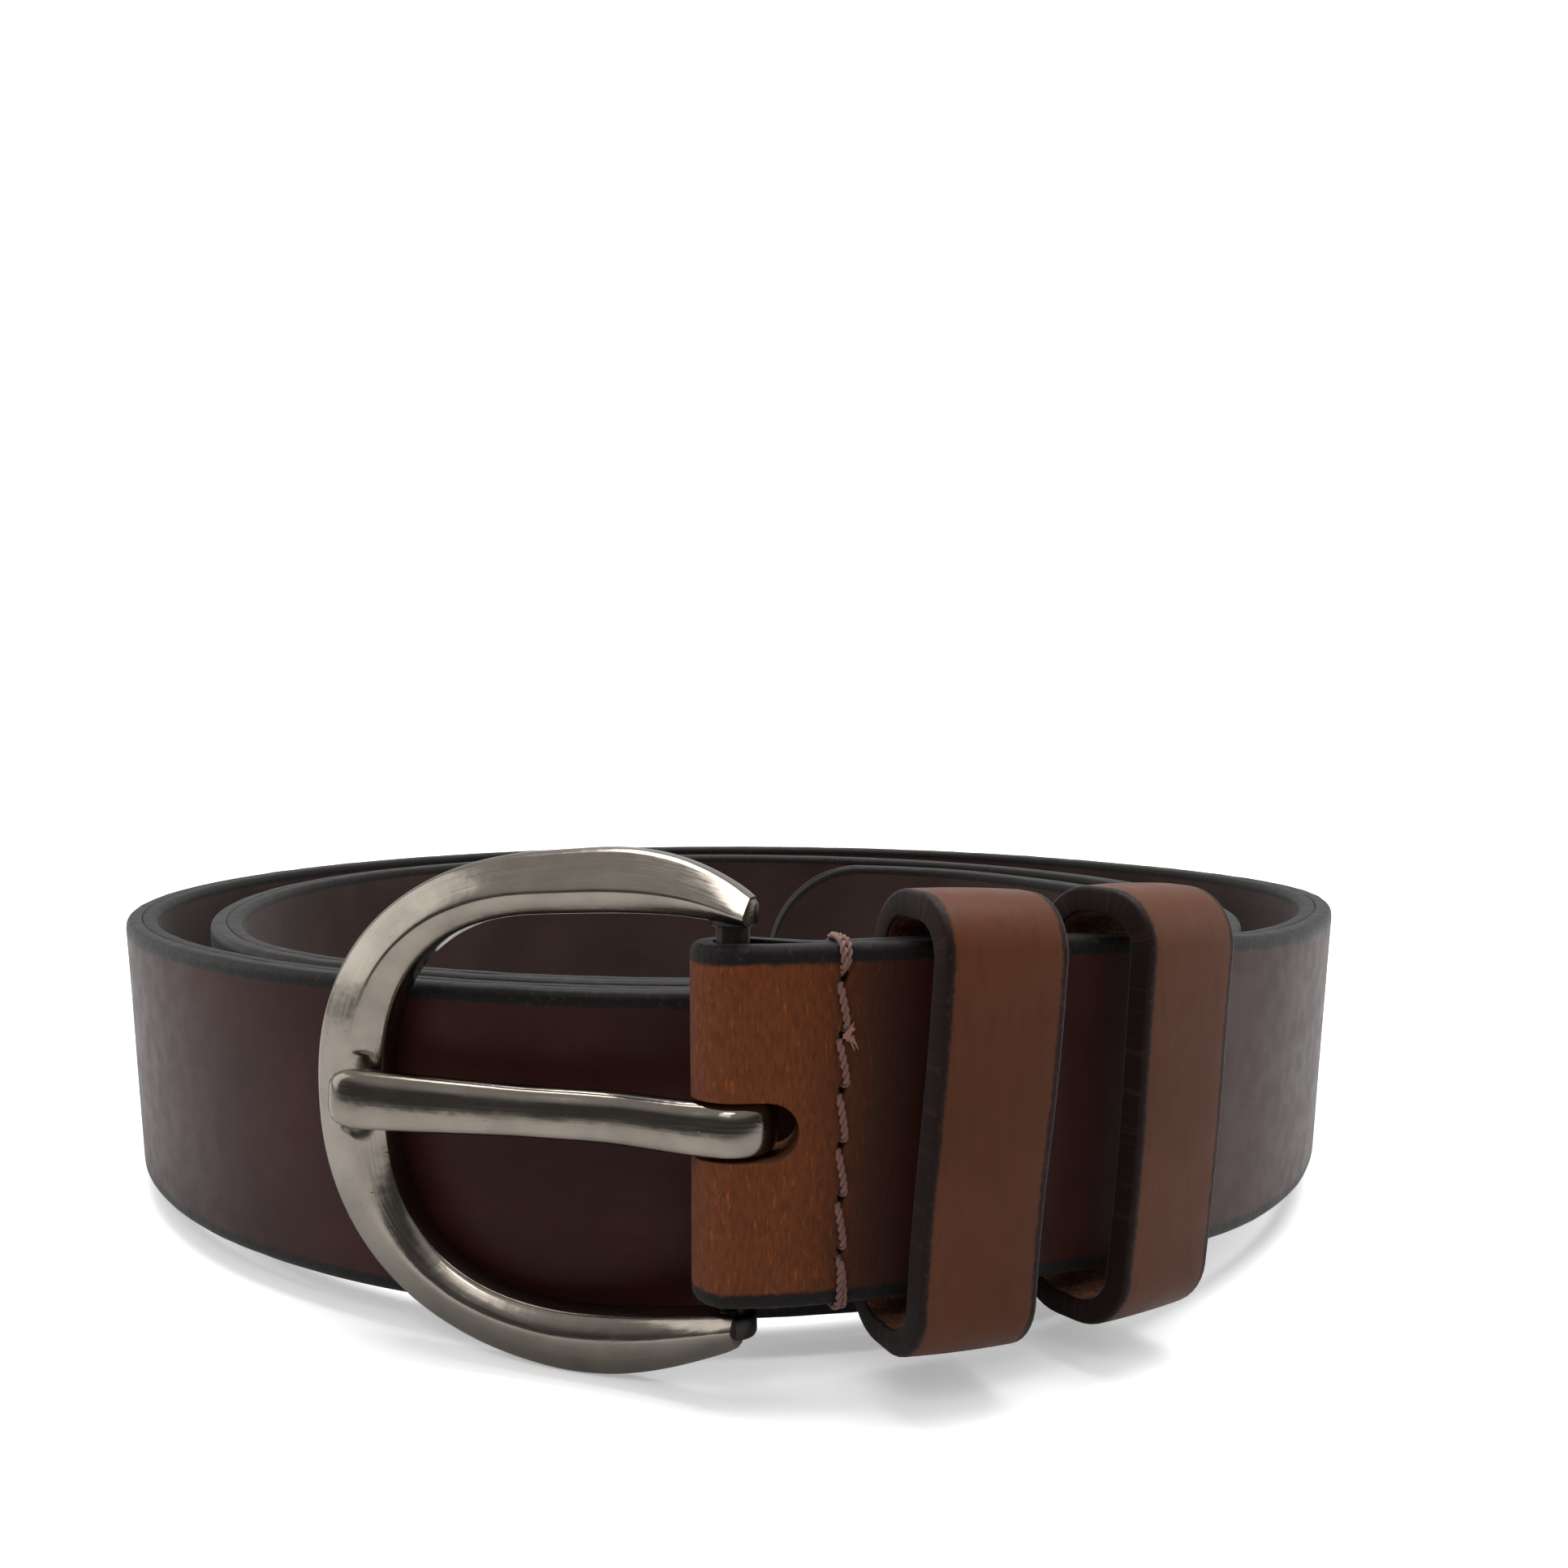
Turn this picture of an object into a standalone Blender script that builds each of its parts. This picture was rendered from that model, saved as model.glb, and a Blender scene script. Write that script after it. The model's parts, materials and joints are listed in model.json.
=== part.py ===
"""Leather dress belt with a horseshoe buckle, wound two and a half turns and standing on edge.

Everything is designed in the coil's own frame: its axis is vertical, its lower edge lies in the
plane z = 0, and "front" is -Y, where the buckle is.  The buckle is wider than the strap, so the
real coil leans back a little on it; the last step tilts the whole belt by that lean and sets it
down on the floor.
"""

import math
from bisect import bisect_right

import bmesh
import bpy
from mathutils import Matrix, Vector

MM = 0.001
CLEARANCE = 0.3 * MM

# Strap: a face ply and a lining ply
STRAP_WIDTH = 35 * MM
FACE = 2.1 * MM
LINING = 1.8 * MM
STRAP_THICKNESS = FACE + CLEARANCE + LINING
SEGMENT = 8 * MM

# How the strap lies: (degrees wound from the front, millimetres to its outer surface)
WINDING = (
    (0, 102.4), (14, 99.4), (27, 95.8), (41, 92.2), (62, 90), (90, 90), (180, 90), (270, 89.2),
    (330, 89.2), (360, 89.4), (390, 86), (420, 79.5), (450, 73.4), (480, 69.8), (505, 69.2),
    (540, 70), (590, 73.6), (618, 74.4), (640, 75.8), (661, 79.6), (676, 83.2), (690, 84.6),
    (720, 84.8), (750, 80.4), (780, 72.8), (810, 64), (830, 58.5), (850, 56), (870, 51.8),
    (890, 46.5),
)
TIP_ANGLE = WINDING[-1][0]

# How far the buckle end is lifted off the coil's plane: (degrees wound, millimetres)
RISE = ((0, 6.3), (15, 6.1), (30, 4.4), (45, 2.3), (75, 1.5), (130, 0), (TIP_ANGLE, 0))

# Buckle end: the face ply is folded round the heel bar and sewn down as a flap
BAR_PLACE = Vector((0.8, -98.4, 23.8)) * MM
BAR_RADIUS = 1.6 * MM
FOLD_RADIUS = BAR_RADIUS + CLEARANCE + FACE / 2
FLAP_JOINS_ANGLE = 5.4
FLAP_END_ANGLE = 20.5
SLOT_WIDTH = 5.8 * MM
SLOT_REACH = 6.2 * MM

# Adjustment holes near the tip
HOLE_COUNT = 5
HOLE_RADIUS = 2.3 * MM
HOLE_PITCH = 25 * MM
FIRST_HOLE = 100 * MM

# Saddle stitching beside the fold
STITCH_ANGLE = 6.2
STITCH_HOLES = 6
STITCH_PITCH = 5.3 * MM
STITCH_FIRST = 5.4 * MM
THREAD_RADIUS = 0.4 * MM

# Buckle frame, in its own plane: u runs from the heel bar to the closed end, v is up
BUCKLE_LEAN = math.radians(19.5)
FRAME_CENTRE_U = 15 * MM
FRAME_OUTER = (31.8 * MM, 26.9 * MM)
FRAME_INNER = (23.0 * MM, 20.35 * MM)
FRAME_OUTER_POWER = 2.24
FRAME_INNER_POWER = 2.6
OUTER_DROOP = 1.5 * MM
INNER_DROOP = 1.0 * MM
DROOP_SPAN = 20 * MM
FRAME_THICKNESS = 4.4 * MM
UPPER_ARM_END = ((-2.3 * MM, 21.9 * MM), (-2.3 * MM, 19.1 * MM))
LOWER_ARM_END = ((-1.1 * MM, 22.2 * MM), (-1.1 * MM, 18.1 * MM))
ARM_END_THICKNESS = 4.2 * MM
ARM_END_FORWARD = 2.1 * MM
LUG_RADIUS = 2.4 * MM
LUG_INNER = 19.0 * MM
LUG_OUTER = 21.3 * MM
BAR_HALF_LENGTH = 20.4 * MM
SEAT_REACH = 40.6 * MM
SEAT_LENGTH = 7 * MM
SEAT_HALF_WIDTH = 3.6 * MM
SEAT_FLOOR = 1.2 * MM

# Prong: side view (u, w, half thickness), w being the way out of the buckle's plane
PRONG_LINE = (
    (0.5, 3.1, 1.25), (3.5, 3.0, 1.4), (7.5, 2.5, 1.5), (12, 2.0, 1.5), (20, 2.6, 1.5),
    (30, 3.5, 1.5), (37, 3.9, 1.5), (40.6, 3.9, 1.3), (42.4, 3.7, 0.8),
)
PRONG_HALF_WIDTH = 2.5 * MM
PRONG_TIP_HALF_WIDTH = 3.1 * MM
EYE_RADIUS = 4.4 * MM
EYE_HALF_WIDTH = 2.55 * MM

# Keeper loops: name: (degrees wound, tilt on the strap in degrees, lift off the strap's middle)
KEEPERS = {"keeper_1": (13.1, -1.2, -0.35 * MM), "keeper_2": (25.9, 2.2, 0.2 * MM)}
KEEPER_WIDTH = 13 * MM
KEEPER_LEATHER = 2.6 * MM
KEEPER_HEIGHT = 44.8 * MM
KEEPER_SLACK = 3.8 * MM
KEEPER_BACK_ROOM = 1.2 * MM
KEEPER_CORNER = 4.6 * MM
KEEPER_SEAM = 0.5 * MM
STAPLE_SPAN = 6 * MM
STAPLE_WIRE = 0.28 * MM
STAPLE_CLENCH = 1.8 * MM

# Rest: the coil leans back on the buckle, then its box is centred over the floor's origin
LEAN = math.radians(1.42)
REST_SHIFT = Vector((-0.4, 7.33, 2.32)) * MM

COLOURS = {
    "strap_face": (0.075, 0.030, 0.022, 0.45, 0.0),
    "strap_lining": (0.045, 0.028, 0.022, 0.60, 0.0),
    "fold_stitching": (0.230, 0.110, 0.080, 0.80, 0.0),
    "keeper_1": (0.140, 0.055, 0.035, 0.45, 0.0),
    "keeper_2": (0.140, 0.055, 0.035, 0.45, 0.0),
    "keeper_1_staple": (0.550, 0.540, 0.520, 0.35, 1.0),
    "keeper_2_staple": (0.550, 0.540, 0.520, 0.35, 1.0),
    "buckle_frame": (0.330, 0.320, 0.300, 0.28, 1.0),
    "heel_bar": (0.300, 0.290, 0.280, 0.35, 1.0),
    "prong": (0.360, 0.350, 0.330, 0.25, 1.0),
}


def start_scene():
    """Empty the scene and make one collection for the belt and one for its cutters."""
    for item in list(bpy.data.objects):
        bpy.data.objects.remove(item, do_unlink=True)
    scene = bpy.context.scene.collection
    belt = bpy.data.collections.new("leather_belt")
    cutters = bpy.data.collections.new("cutters")
    scene.children.link(belt)
    scene.children.link(cutters)
    return belt, cutters


def smooth_value(stations, at):
    """Value at `at` of a smooth curve through (position, value) stations."""
    index = min(max(bisect_right([s[0] for s in stations], at) - 1, 0), len(stations) - 2)

    def slope(k):
        low, high = stations[max(k - 1, 0)], stations[min(k + 1, len(stations) - 1)]
        return 0.0 if k == 0 else (high[1] - low[1]) / (high[0] - low[0])

    (start, value_0), (end, value_1) = stations[index], stations[index + 1]
    span = end - start
    t = (at - start) / span
    return ((1 + 2 * t) * (1 - t) ** 2 * value_0 + t * (1 - t) ** 2 * span * slope(index)
            + t * t * (3 - 2 * t) * value_1 + t * t * (t - 1) * span * slope(index + 1))


def rise(angle):
    """Height of the strap's lower edge above the coil's plane."""
    return smooth_value(RISE, angle) * MM


def winding_point(angle):
    """Point of the strap's outer surface on its lower edge."""
    turn = math.radians(angle)
    radius = smooth_value(WINDING, angle) * MM
    return Vector((radius * math.sin(turn), -radius * math.cos(turn), rise(angle)))


def strap_frame(angle):
    """Mid-width point of the outer surface, with the strap's tangent, outward normal and up."""
    step = 0.2
    tangent = (winding_point(angle + step) - winding_point(angle - step)).normalized()
    outward = tangent.cross(Vector((0, 0, 1))).normalized()
    up = outward.cross(tangent)
    middle = winding_point(angle) + Vector((0, 0, STRAP_WIDTH / 2))
    return middle, tangent, outward, up


def bend_radius(angle, reach=6):
    """Radius of the strap's own bend over a few degrees each side of an angle."""
    before, after = strap_frame(angle - reach), strap_frame(angle + reach)
    turned = before[1].angle(after[1])
    return (after[0] - before[0]).length / (2 * math.sin(turned / 2))


def ply_point(angle, depth):
    """Lower-edge point `depth` inside the strap's outer surface."""
    outward = strap_frame(angle)[2]
    return winding_point(angle) - outward * depth


def angles_between(start, end, segment=SEGMENT):
    """Winding angles from start to end, about one segment of strap apart."""
    angles = [start]
    while True:
        radius = smooth_value(WINDING, angles[-1]) * MM
        following = angles[-1] + math.degrees(segment / radius)
        if following > end - math.degrees(segment / radius) / 2:
            break
        angles.append(following)
    return angles + [end]


def angle_before_tip(distance):
    """Winding angle at a distance along the strap from its tip."""
    step = 0.5
    angle = TIP_ANGLE
    travelled = 0.0
    while travelled < distance:
        travelled += (winding_point(angle) - winding_point(angle - step)).length
        angle -= step
    return angle


def add_material(item):
    """Give an object its own Principled material."""
    red, green, blue, roughness, metallic = COLOURS[item.name]
    material = bpy.data.materials.new(item.name)
    material.use_nodes = True
    shader = material.node_tree.nodes["Principled BSDF"]
    shader.inputs["Base Color"].default_value = (red, green, blue, 1)
    shader.inputs["Roughness"].default_value = roughness
    shader.inputs["Metallic"].default_value = metallic
    item.data.materials.append(material)


def add_object(name, bm, collection):
    """Turn a bmesh into an object with outward faces."""
    bmesh.ops.recalc_face_normals(bm, faces=bm.faces)
    mesh = bpy.data.meshes.new(name)
    bm.to_mesh(mesh)
    bm.free()
    item = bpy.data.objects.new(name, mesh)
    collection.objects.link(item)
    if name in COLOURS:
        add_material(item)
    return item


def add_ribbon(name, line, across, thickness, collection):
    """Strip of leather: a line extruded across its width, then thickened."""
    bm = bmesh.new()
    verts = [bm.verts.new(point) for point in line]
    edges = [bm.edges.new(pair) for pair in zip(verts, verts[1:])]
    grown = bmesh.ops.extrude_edge_only(bm, edges=edges)["geom"]
    moved = [part for part in grown if isinstance(part, bmesh.types.BMVert)]
    bmesh.ops.translate(bm, verts=moved, vec=across)
    item = add_object(name, bm, collection)
    shell = item.modifiers.new("Thickness", "SOLIDIFY")
    shell.thickness = thickness
    shell.offset = 0
    shell.use_even_offset = True
    return item


def add_tube(name, points, radius, collection, cyclic=False, sides=2):
    """Round wire or thread along straight runs between points, as a closed mesh."""
    curve = bpy.data.curves.new(name, "CURVE")
    curve.dimensions = "3D"
    curve.bevel_depth = radius
    curve.bevel_resolution = sides
    curve.use_fill_caps = not cyclic
    spline = curve.splines.new("POLY")
    spline.points.add(len(points) - 1)
    for slot, point in zip(spline.points, points):
        slot.co = (*point, 1)
    spline.use_cyclic_u = cyclic
    guide = bpy.data.objects.new(name + "_path", curve)
    collection.objects.link(guide)
    evaluated = guide.evaluated_get(bpy.context.evaluated_depsgraph_get())
    mesh = bpy.data.meshes.new_from_object(evaluated)
    bpy.data.objects.remove(guide)
    bm = bmesh.new()
    bm.from_mesh(mesh)
    bpy.data.meshes.remove(mesh)
    bmesh.ops.remove_doubles(bm, verts=bm.verts, dist=radius / 100)
    item = add_object(name, bm, collection)
    item.data.shade_smooth()
    return item


def add_cylinder(name, start, end, radius, collection, sides=12):
    """Round bar from one point to another."""
    axis = end - start
    bm = bmesh.new()
    bmesh.ops.create_cone(bm, cap_ends=True, segments=sides, radius1=radius, radius2=radius,
                          depth=axis.length)
    turn = axis.to_track_quat("Z", "Y").to_matrix().to_4x4()
    bmesh.ops.transform(bm, verts=bm.verts, matrix=Matrix.Translation((start + end) / 2) @ turn)
    item = add_object(name, bm, collection)
    item.data.shade_smooth()
    item.data.set_sharp_from_angle(angle=math.radians(40))
    return item


def combine(item, other, operation):
    """Join another object to this one, or cut it away, and keep it as a hidden helper."""
    step = item.modifiers.new(other.name, "BOOLEAN")
    step.operation = operation
    step.solver = "EXACT"
    step.object = other
    other.hide_render = True
    other.display_type = "WIRE"


def add_round_slot(name, centre, along, across, half_length, half_width, depth, collection):
    """Cutter with semicircular ends, centred on a point and cutting at right angles to both."""
    through = along.cross(across).normalized()
    arc = [math.pi * step / 8 for step in range(9)]
    right = [(half_length - half_width + half_width * math.sin(a), half_width * math.cos(a))
             for a in arc]
    left = [(-x, -y) for x, y in right]
    bm = bmesh.new()
    ring = [bm.verts.new(centre + along * x + across * y - through * depth)
            for x, y in right + left]
    face = bm.faces.new(ring)
    grown = bmesh.ops.extrude_face_region(bm, geom=[face])["geom"]
    moved = [part for part in grown if isinstance(part, bmesh.types.BMVert)]
    bmesh.ops.translate(bm, verts=moved, vec=through * 2 * depth)
    return add_object(name, bm, collection)


def fold_line():
    """Middle of the face ply from the flap's end, round the heel bar, to the strap."""
    flap_depth = FACE + CLEARANCE + FACE / 2
    points = [ply_point(angle, flap_depth)
              for angle in reversed(angles_between(FLAP_JOINS_ANGLE, FLAP_END_ANGLE))]
    bar = Vector((BAR_PLACE.x, BAR_PLACE.y, 0))
    back = bar + Vector((0, FOLD_RADIUS, rise(0)))
    joined = points[-1]
    for step in (0.25, 0.5, 0.75):
        ease = step * step * (3 - 2 * step)
        points.append(Vector((joined.x + (back.x - joined.x) * step,
                              joined.y + (back.y - joined.y) * ease, rise(0))))
    for step in range(9):
        turn = math.pi * step / 8
        points.append(bar + Vector((-FOLD_RADIUS * math.sin(turn),
                                    FOLD_RADIUS * math.cos(turn), rise(0))))
    return points


def round_the_tip(item, line):
    """Draw the last columns of the strap in to a half-round tip."""
    radius = STRAP_WIDTH / 2
    travelled = 0.0
    verts = item.data.vertices
    for index in range(len(line) - 1, -1, -1):
        if index < len(line) - 1:
            travelled += (line[index + 1] - line[index]).length
        if travelled >= radius:
            break
        reach = max(travelled, radius * 0.02)
        half = math.sqrt(radius ** 2 - (radius - reach) ** 2)
        middle = line[index].z + radius
        for vert in verts:
            if (vert.co.xy - line[index].xy).length < CLEARANCE / 10:
                vert.co.z = middle + math.copysign(half, vert.co.z - middle)


def tip_angles():
    """Winding angles of the columns that shape the half-round tip."""
    radius = STRAP_WIDTH / 2
    return [angle_before_tip(radius * (1 - math.sin(math.pi / 2 * step / 6)))
            for step in range(7)]


def strap_columns(start):
    """Winding angles of the strap's columns from a start angle to the tip."""
    tip = tip_angles()
    return angles_between(start, tip[0])[:-1] + tip[:-1] + [TIP_ANGLE]


def add_strap(belt, cutters):
    """Face ply with its fold, flap, slot and holes, and the lining ply behind it."""
    across = Vector((0, 0, STRAP_WIDTH))
    face_line = fold_line() + [ply_point(a, FACE / 2) for a in strap_columns(2.0)]
    lining_line = [ply_point(a, STRAP_THICKNESS - LINING / 2)
                   for a in strap_columns(FLAP_END_ANGLE + 0.4)]
    face = add_ribbon("strap_face", face_line, across, FACE, belt)
    lining = add_ribbon("strap_lining", lining_line, across, LINING, belt)
    round_the_tip(face, face_line)
    round_the_tip(lining, lining_line)

    slot = add_round_slot("prong_slot", BAR_PLACE, Vector((1, 0, 0)), Vector((0, 0, 1)),
                          SLOT_REACH, SLOT_WIDTH / 2, 8 * MM, cutters)
    combine(face, slot, "DIFFERENCE")
    for number in range(HOLE_COUNT):
        angle = angle_before_tip(FIRST_HOLE + number * HOLE_PITCH)
        middle, _, outward, _ = strap_frame(angle)
        punch = add_cylinder(f"strap_hole_{number + 1}", middle + outward * 2 * MM,
                             middle - outward * (STRAP_THICKNESS + 2 * MM), HOLE_RADIUS, cutters)
        combine(face, punch, "DIFFERENCE")
        combine(lining, punch, "DIFFERENCE")
    return face


def add_stitching(belt, cutters, face):
    """Saddle stitches: a thread round both edges of the fold, with a run through each hole."""
    middle, _, outward, up = strap_frame(STITCH_ANGLE)
    gap = CLEARANCE + THREAD_RADIUS
    front = outward * gap
    back = -outward * (2 * FACE + CLEARANCE + gap)
    edge = STRAP_WIDTH / 2 + gap
    corner = edge - gap
    loop = [middle + front + up * corner, middle + front * 0.3 + up * edge,
            middle + back * 0.9 + up * edge, middle + back + up * corner,
            middle + back - up * corner, middle + back * 0.9 - up * edge,
            middle + front * 0.3 - up * edge, middle + front - up * corner]
    thread = add_tube("fold_stitching", loop, THREAD_RADIUS, belt, cyclic=True)
    for number in range(STITCH_HOLES):
        height = up * (STITCH_FIRST + number * STITCH_PITCH - STRAP_WIDTH / 2)
        inset = outward * THREAD_RADIUS / 4
        run = add_cylinder(f"stitch_run_{number + 1}", middle + height + front + inset,
                           middle + height + back - inset, THREAD_RADIUS * 0.9, cutters, sides=6)
        combine(thread, run, "UNION")
        awl = add_cylinder(f"stitch_hole_{number + 1}", middle + height + front * 3,
                           middle + height + back * 1.3, THREAD_RADIUS + CLEARANCE, cutters,
                           sides=8)
        combine(face, awl, "DIFFERENCE")


def keeper_outline():
    """Middle of a keeper's leather in (outward, up), from one end of its rear seam to the other."""
    front = KEEPER_SLACK + KEEPER_LEATHER / 2
    rear = -(STRAP_THICKNESS + KEEPER_BACK_ROOM + KEEPER_LEATHER / 2)
    top = KEEPER_HEIGHT / 2 - KEEPER_LEATHER / 2
    seam = KEEPER_SEAM / 2
    points = [(rear, seam)]
    for (x, z), start in (((rear, top), 180), ((front, top), 90), ((front, -top), 0),
                          ((rear, -top), -90)):
        centre = (x - math.copysign(KEEPER_CORNER, x), z - math.copysign(KEEPER_CORNER, z))
        for step in range(6):
            turn = math.radians(start - 90 * step / 5)
            points.append((centre[0] + KEEPER_CORNER * math.cos(turn),
                           centre[1] + KEEPER_CORNER * math.sin(turn)))
    return points + [(rear, -seam)]


def keeper_frame(angle, tilt, lift):
    """Strap's frame at a keeper, moved and turned as the keeper sits on the strap."""
    middle, tangent, outward, up = strap_frame(angle)
    turn = Matrix.Rotation(math.radians(tilt), 3, outward)
    return middle + up * lift, turn @ tangent, outward, turn @ up


def add_keeper(name, seat, belt, cutters):
    """One keeper loop, its ends butted at the back and closed by a staple."""
    middle, tangent, outward, up = keeper_frame(*seat)
    line = [middle + outward * x + up * z - tangent * KEEPER_WIDTH / 2
            for x, z in keeper_outline()]
    loop = add_ribbon(name, line, tangent * KEEPER_WIDTH, KEEPER_LEATHER, belt)

    inner = -(STRAP_THICKNESS + KEEPER_BACK_ROOM) + CLEARANCE + STAPLE_WIRE
    outer = -(STRAP_THICKNESS + KEEPER_BACK_ROOM + KEEPER_LEATHER) - CLEARANCE - STAPLE_WIRE
    half = STAPLE_SPAN / 2
    route = [(outer, half - STAPLE_CLENCH), (outer, half), (inner, half), (inner, -half),
             (outer, -half), (outer, STAPLE_CLENCH - half)]
    add_tube(f"{name}_staple", [middle + outward * x + up * z for x, z in route], STAPLE_WIRE,
             belt)
    for side in (-1, 1):
        place = middle + up * half * side
        awl = add_cylinder(f"{name}_hole_{side}", place + outward * (inner + MM),
                           place + outward * (outer - MM), STAPLE_WIRE * 1.2 + CLEARANCE,
                           cutters, sides=8)
        combine(loop, awl, "DIFFERENCE")


def buckle_matrix():
    """Buckle frame of reference: X is u, Y is v, Z is w, with its origin on the heel bar."""
    u = Vector((-math.cos(BUCKLE_LEAN), math.sin(BUCKLE_LEAN), 0))
    v = Vector((0, 0, 1))
    w = v.cross(u)
    turn = Matrix((u, v, w)).transposed().to_4x4()
    return Matrix.Translation(BAR_PLACE) @ turn


def add_loft(name, rings, collection):
    """Closed skin over a row of rings that all have the same number of points."""
    bm = bmesh.new()
    rows = [[bm.verts.new(point) for point in ring] for ring in rings]
    for row, following in zip(rows, rows[1:]):
        for k in range(len(row)):
            nxt = (k + 1) % len(row)
            bm.faces.new((row[k], row[nxt], following[nxt], following[k]))
    bm.faces.new(rows[0])
    bm.faces.new(rows[-1])
    item = add_object(name, bm, collection)
    item.data.shade_smooth()
    item.data.set_sharp_from_angle(angle=math.radians(30))
    return item


def drooped(point, droop):
    """Point of the frame's outline, lowered towards the closed end."""
    share = min(max(point[0] / DROOP_SPAN, 0), 1)
    return point[0], point[1] - droop * share * share * (3 - 2 * share)


def arm_stations(end):
    """Outline points of one arm, from its end to where it meets the bow, all with v positive."""
    stations = []
    for step in range(5):
        share = step / 5
        fullness = 1 - (1 - share) ** 2
        pair = [(corner[0] + (FRAME_CENTRE_U - corner[0]) * share,
                 corner[1] + (size[1] - corner[1]) * fullness)
                for corner, size in zip(end, (FRAME_OUTER, FRAME_INNER))]
        thick = ARM_END_THICKNESS + (FRAME_THICKNESS - ARM_END_THICKNESS) * fullness
        stations.append((*pair, thick, ARM_END_FORWARD * (1 - share) ** 2))
    return stations


def frame_edges():
    """Matching points (outer, inner) of the frame's two outlines, with thickness and offset."""
    def corner(size, power, turn):
        return (FRAME_CENTRE_U + size[0] * math.sin(turn) ** (2 / power),
                size[1] * math.cos(turn) ** (2 / power))

    bow = []
    for step in range(11):
        turn = min(math.pi / 2 * step / 10, math.pi / 2 - 1e-9)
        bow.append((corner(FRAME_OUTER, FRAME_OUTER_POWER, turn),
                    corner(FRAME_INNER, FRAME_INNER_POWER, turn), FRAME_THICKNESS, 0.0))
    lower = arm_stations(LOWER_ARM_END) + bow[:-1]
    mirrored = [((o[0], -o[1]), (i[0], -i[1]), *rest) for o, i, *rest in reversed(lower)]
    return [(drooped(outer, OUTER_DROOP), drooped(inner, INNER_DROOP), *rest)
            for outer, inner, *rest in arm_stations(UPPER_ARM_END) + bow + mirrored]


def add_buckle_frame(belt, cutters):
    """Horseshoe frame with a ridged section, and a lug at each arm for the heel bar."""
    place = buckle_matrix()
    section = ((1.0, -0.5), (1.0, -0.05), (0.22, 0.5), (0.0, 0.1), (0.0, -0.5))
    rings = []
    for outer, inner, thick, forward in frame_edges():
        rings.append([place @ Vector((inner[0] + (outer[0] - inner[0]) * share,
                                      inner[1] + (outer[1] - inner[1]) * share,
                                      forward + thick * height)) for share, height in section])
    frame = add_loft("buckle_frame", rings, belt)
    for side in (-1, 1):
        lug = add_cylinder(f"lug_{side}", place @ Vector((0, side * LUG_INNER, 0)),
                           place @ Vector((0, side * LUG_OUTER, 0)), LUG_RADIUS, cutters, 16)
        combine(frame, lug, "UNION")
    drill = add_cylinder("bar_bore", place @ Vector((0, -BAR_HALF_LENGTH - CLEARANCE, 0)),
                         place @ Vector((0, BAR_HALF_LENGTH + CLEARANCE, 0)),
                         BAR_RADIUS + CLEARANCE, cutters, 16)
    combine(frame, drill, "DIFFERENCE")
    return frame


def add_prong(belt, cutters):
    """Cranked prong: a lofted shank joined to an eye round the heel bar."""
    place = buckle_matrix()
    corners = ((1, -0.4), (1, 0.4), (0.6, 1), (-0.6, 1), (-1, 0.4), (-1, -0.4), (-0.6, -1),
               (0.6, -1))
    rings = []
    last = PRONG_LINE[-1][0]
    for u, w, half in PRONG_LINE:
        toward_tip = max(0.0, (u - last / 2) / (last / 2))
        width = PRONG_HALF_WIDTH + (PRONG_TIP_HALF_WIDTH - PRONG_HALF_WIDTH) * toward_tip
        width *= 0.7 if u == last else 1
        rings.append([place @ Vector((u * MM, width * x, (w + half * z) * MM))
                      for x, z in corners])
    prong = add_loft("prong", rings, belt)
    eye = add_cylinder("prong_eye", place @ Vector((0, -EYE_HALF_WIDTH, 0)),
                       place @ Vector((0, EYE_HALF_WIDTH, 0)), EYE_RADIUS, cutters, 20)
    bore = add_cylinder("prong_bore", place @ Vector((0, -EYE_HALF_WIDTH * 2, 0)),
                        place @ Vector((0, EYE_HALF_WIDTH * 2, 0)), BAR_RADIUS + CLEARANCE,
                        cutters, 16)
    combine(prong, eye, "UNION")
    combine(prong, bore, "DIFFERENCE")
    return prong


def add_notch(frame, cutters):
    """Seat in the inner half of the frame's closed end, where the prong rests."""
    low = Vector((SEAT_REACH - SEAT_LENGTH, -SEAT_HALF_WIDTH, SEAT_FLOOR))
    high = Vector((SEAT_REACH, SEAT_HALF_WIDTH, FRAME_THICKNESS))
    bm = bmesh.new()
    bmesh.ops.create_cube(bm, size=1)
    bmesh.ops.scale(bm, verts=bm.verts, vec=high - low)
    bmesh.ops.translate(bm, verts=bm.verts, vec=(low + high) / 2)
    bmesh.ops.transform(bm, verts=bm.verts, matrix=buckle_matrix())
    combine(frame, add_object("prong_seat", bm, cutters), "DIFFERENCE")


def add_pivot(name, place, axis, pieces, belt):
    """Empty on a joint's axis, with its Z along the axis, that carries the joint's pieces."""
    pivot = bpy.data.objects.new(name, None)
    belt.objects.link(pivot)
    pivot.matrix_world = Matrix.Translation(place) @ axis.to_track_quat("Z", "Y").to_matrix().to_4x4()
    bpy.context.view_layer.update()
    for piece in pieces:
        piece.parent = pivot
        piece.matrix_parent_inverse = pivot.matrix_world.inverted()
    return pivot


def add_pivots(belt):
    """Hinge at the heel bar, and the circle on which each keeper slides along the strap."""
    pieces = belt.objects
    upright = Vector((0, 0, 1))
    hinge = add_pivot("buckle_pivot", BAR_PLACE, upright,
                      [pieces["buckle_frame"], pieces["heel_bar"]], belt)
    swivel = add_pivot("prong_pivot", BAR_PLACE, upright, [pieces["prong"]], belt)
    swivel.parent = hinge
    swivel.matrix_parent_inverse = hinge.matrix_world.inverted()
    for name, (angle, _, _) in KEEPERS.items():
        middle, _, outward, up = strap_frame(angle)
        add_pivot(f"{name}_pivot", middle - outward * bend_radius(angle), up,
                  [pieces[name], pieces[f"{name}_staple"]], belt)


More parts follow.
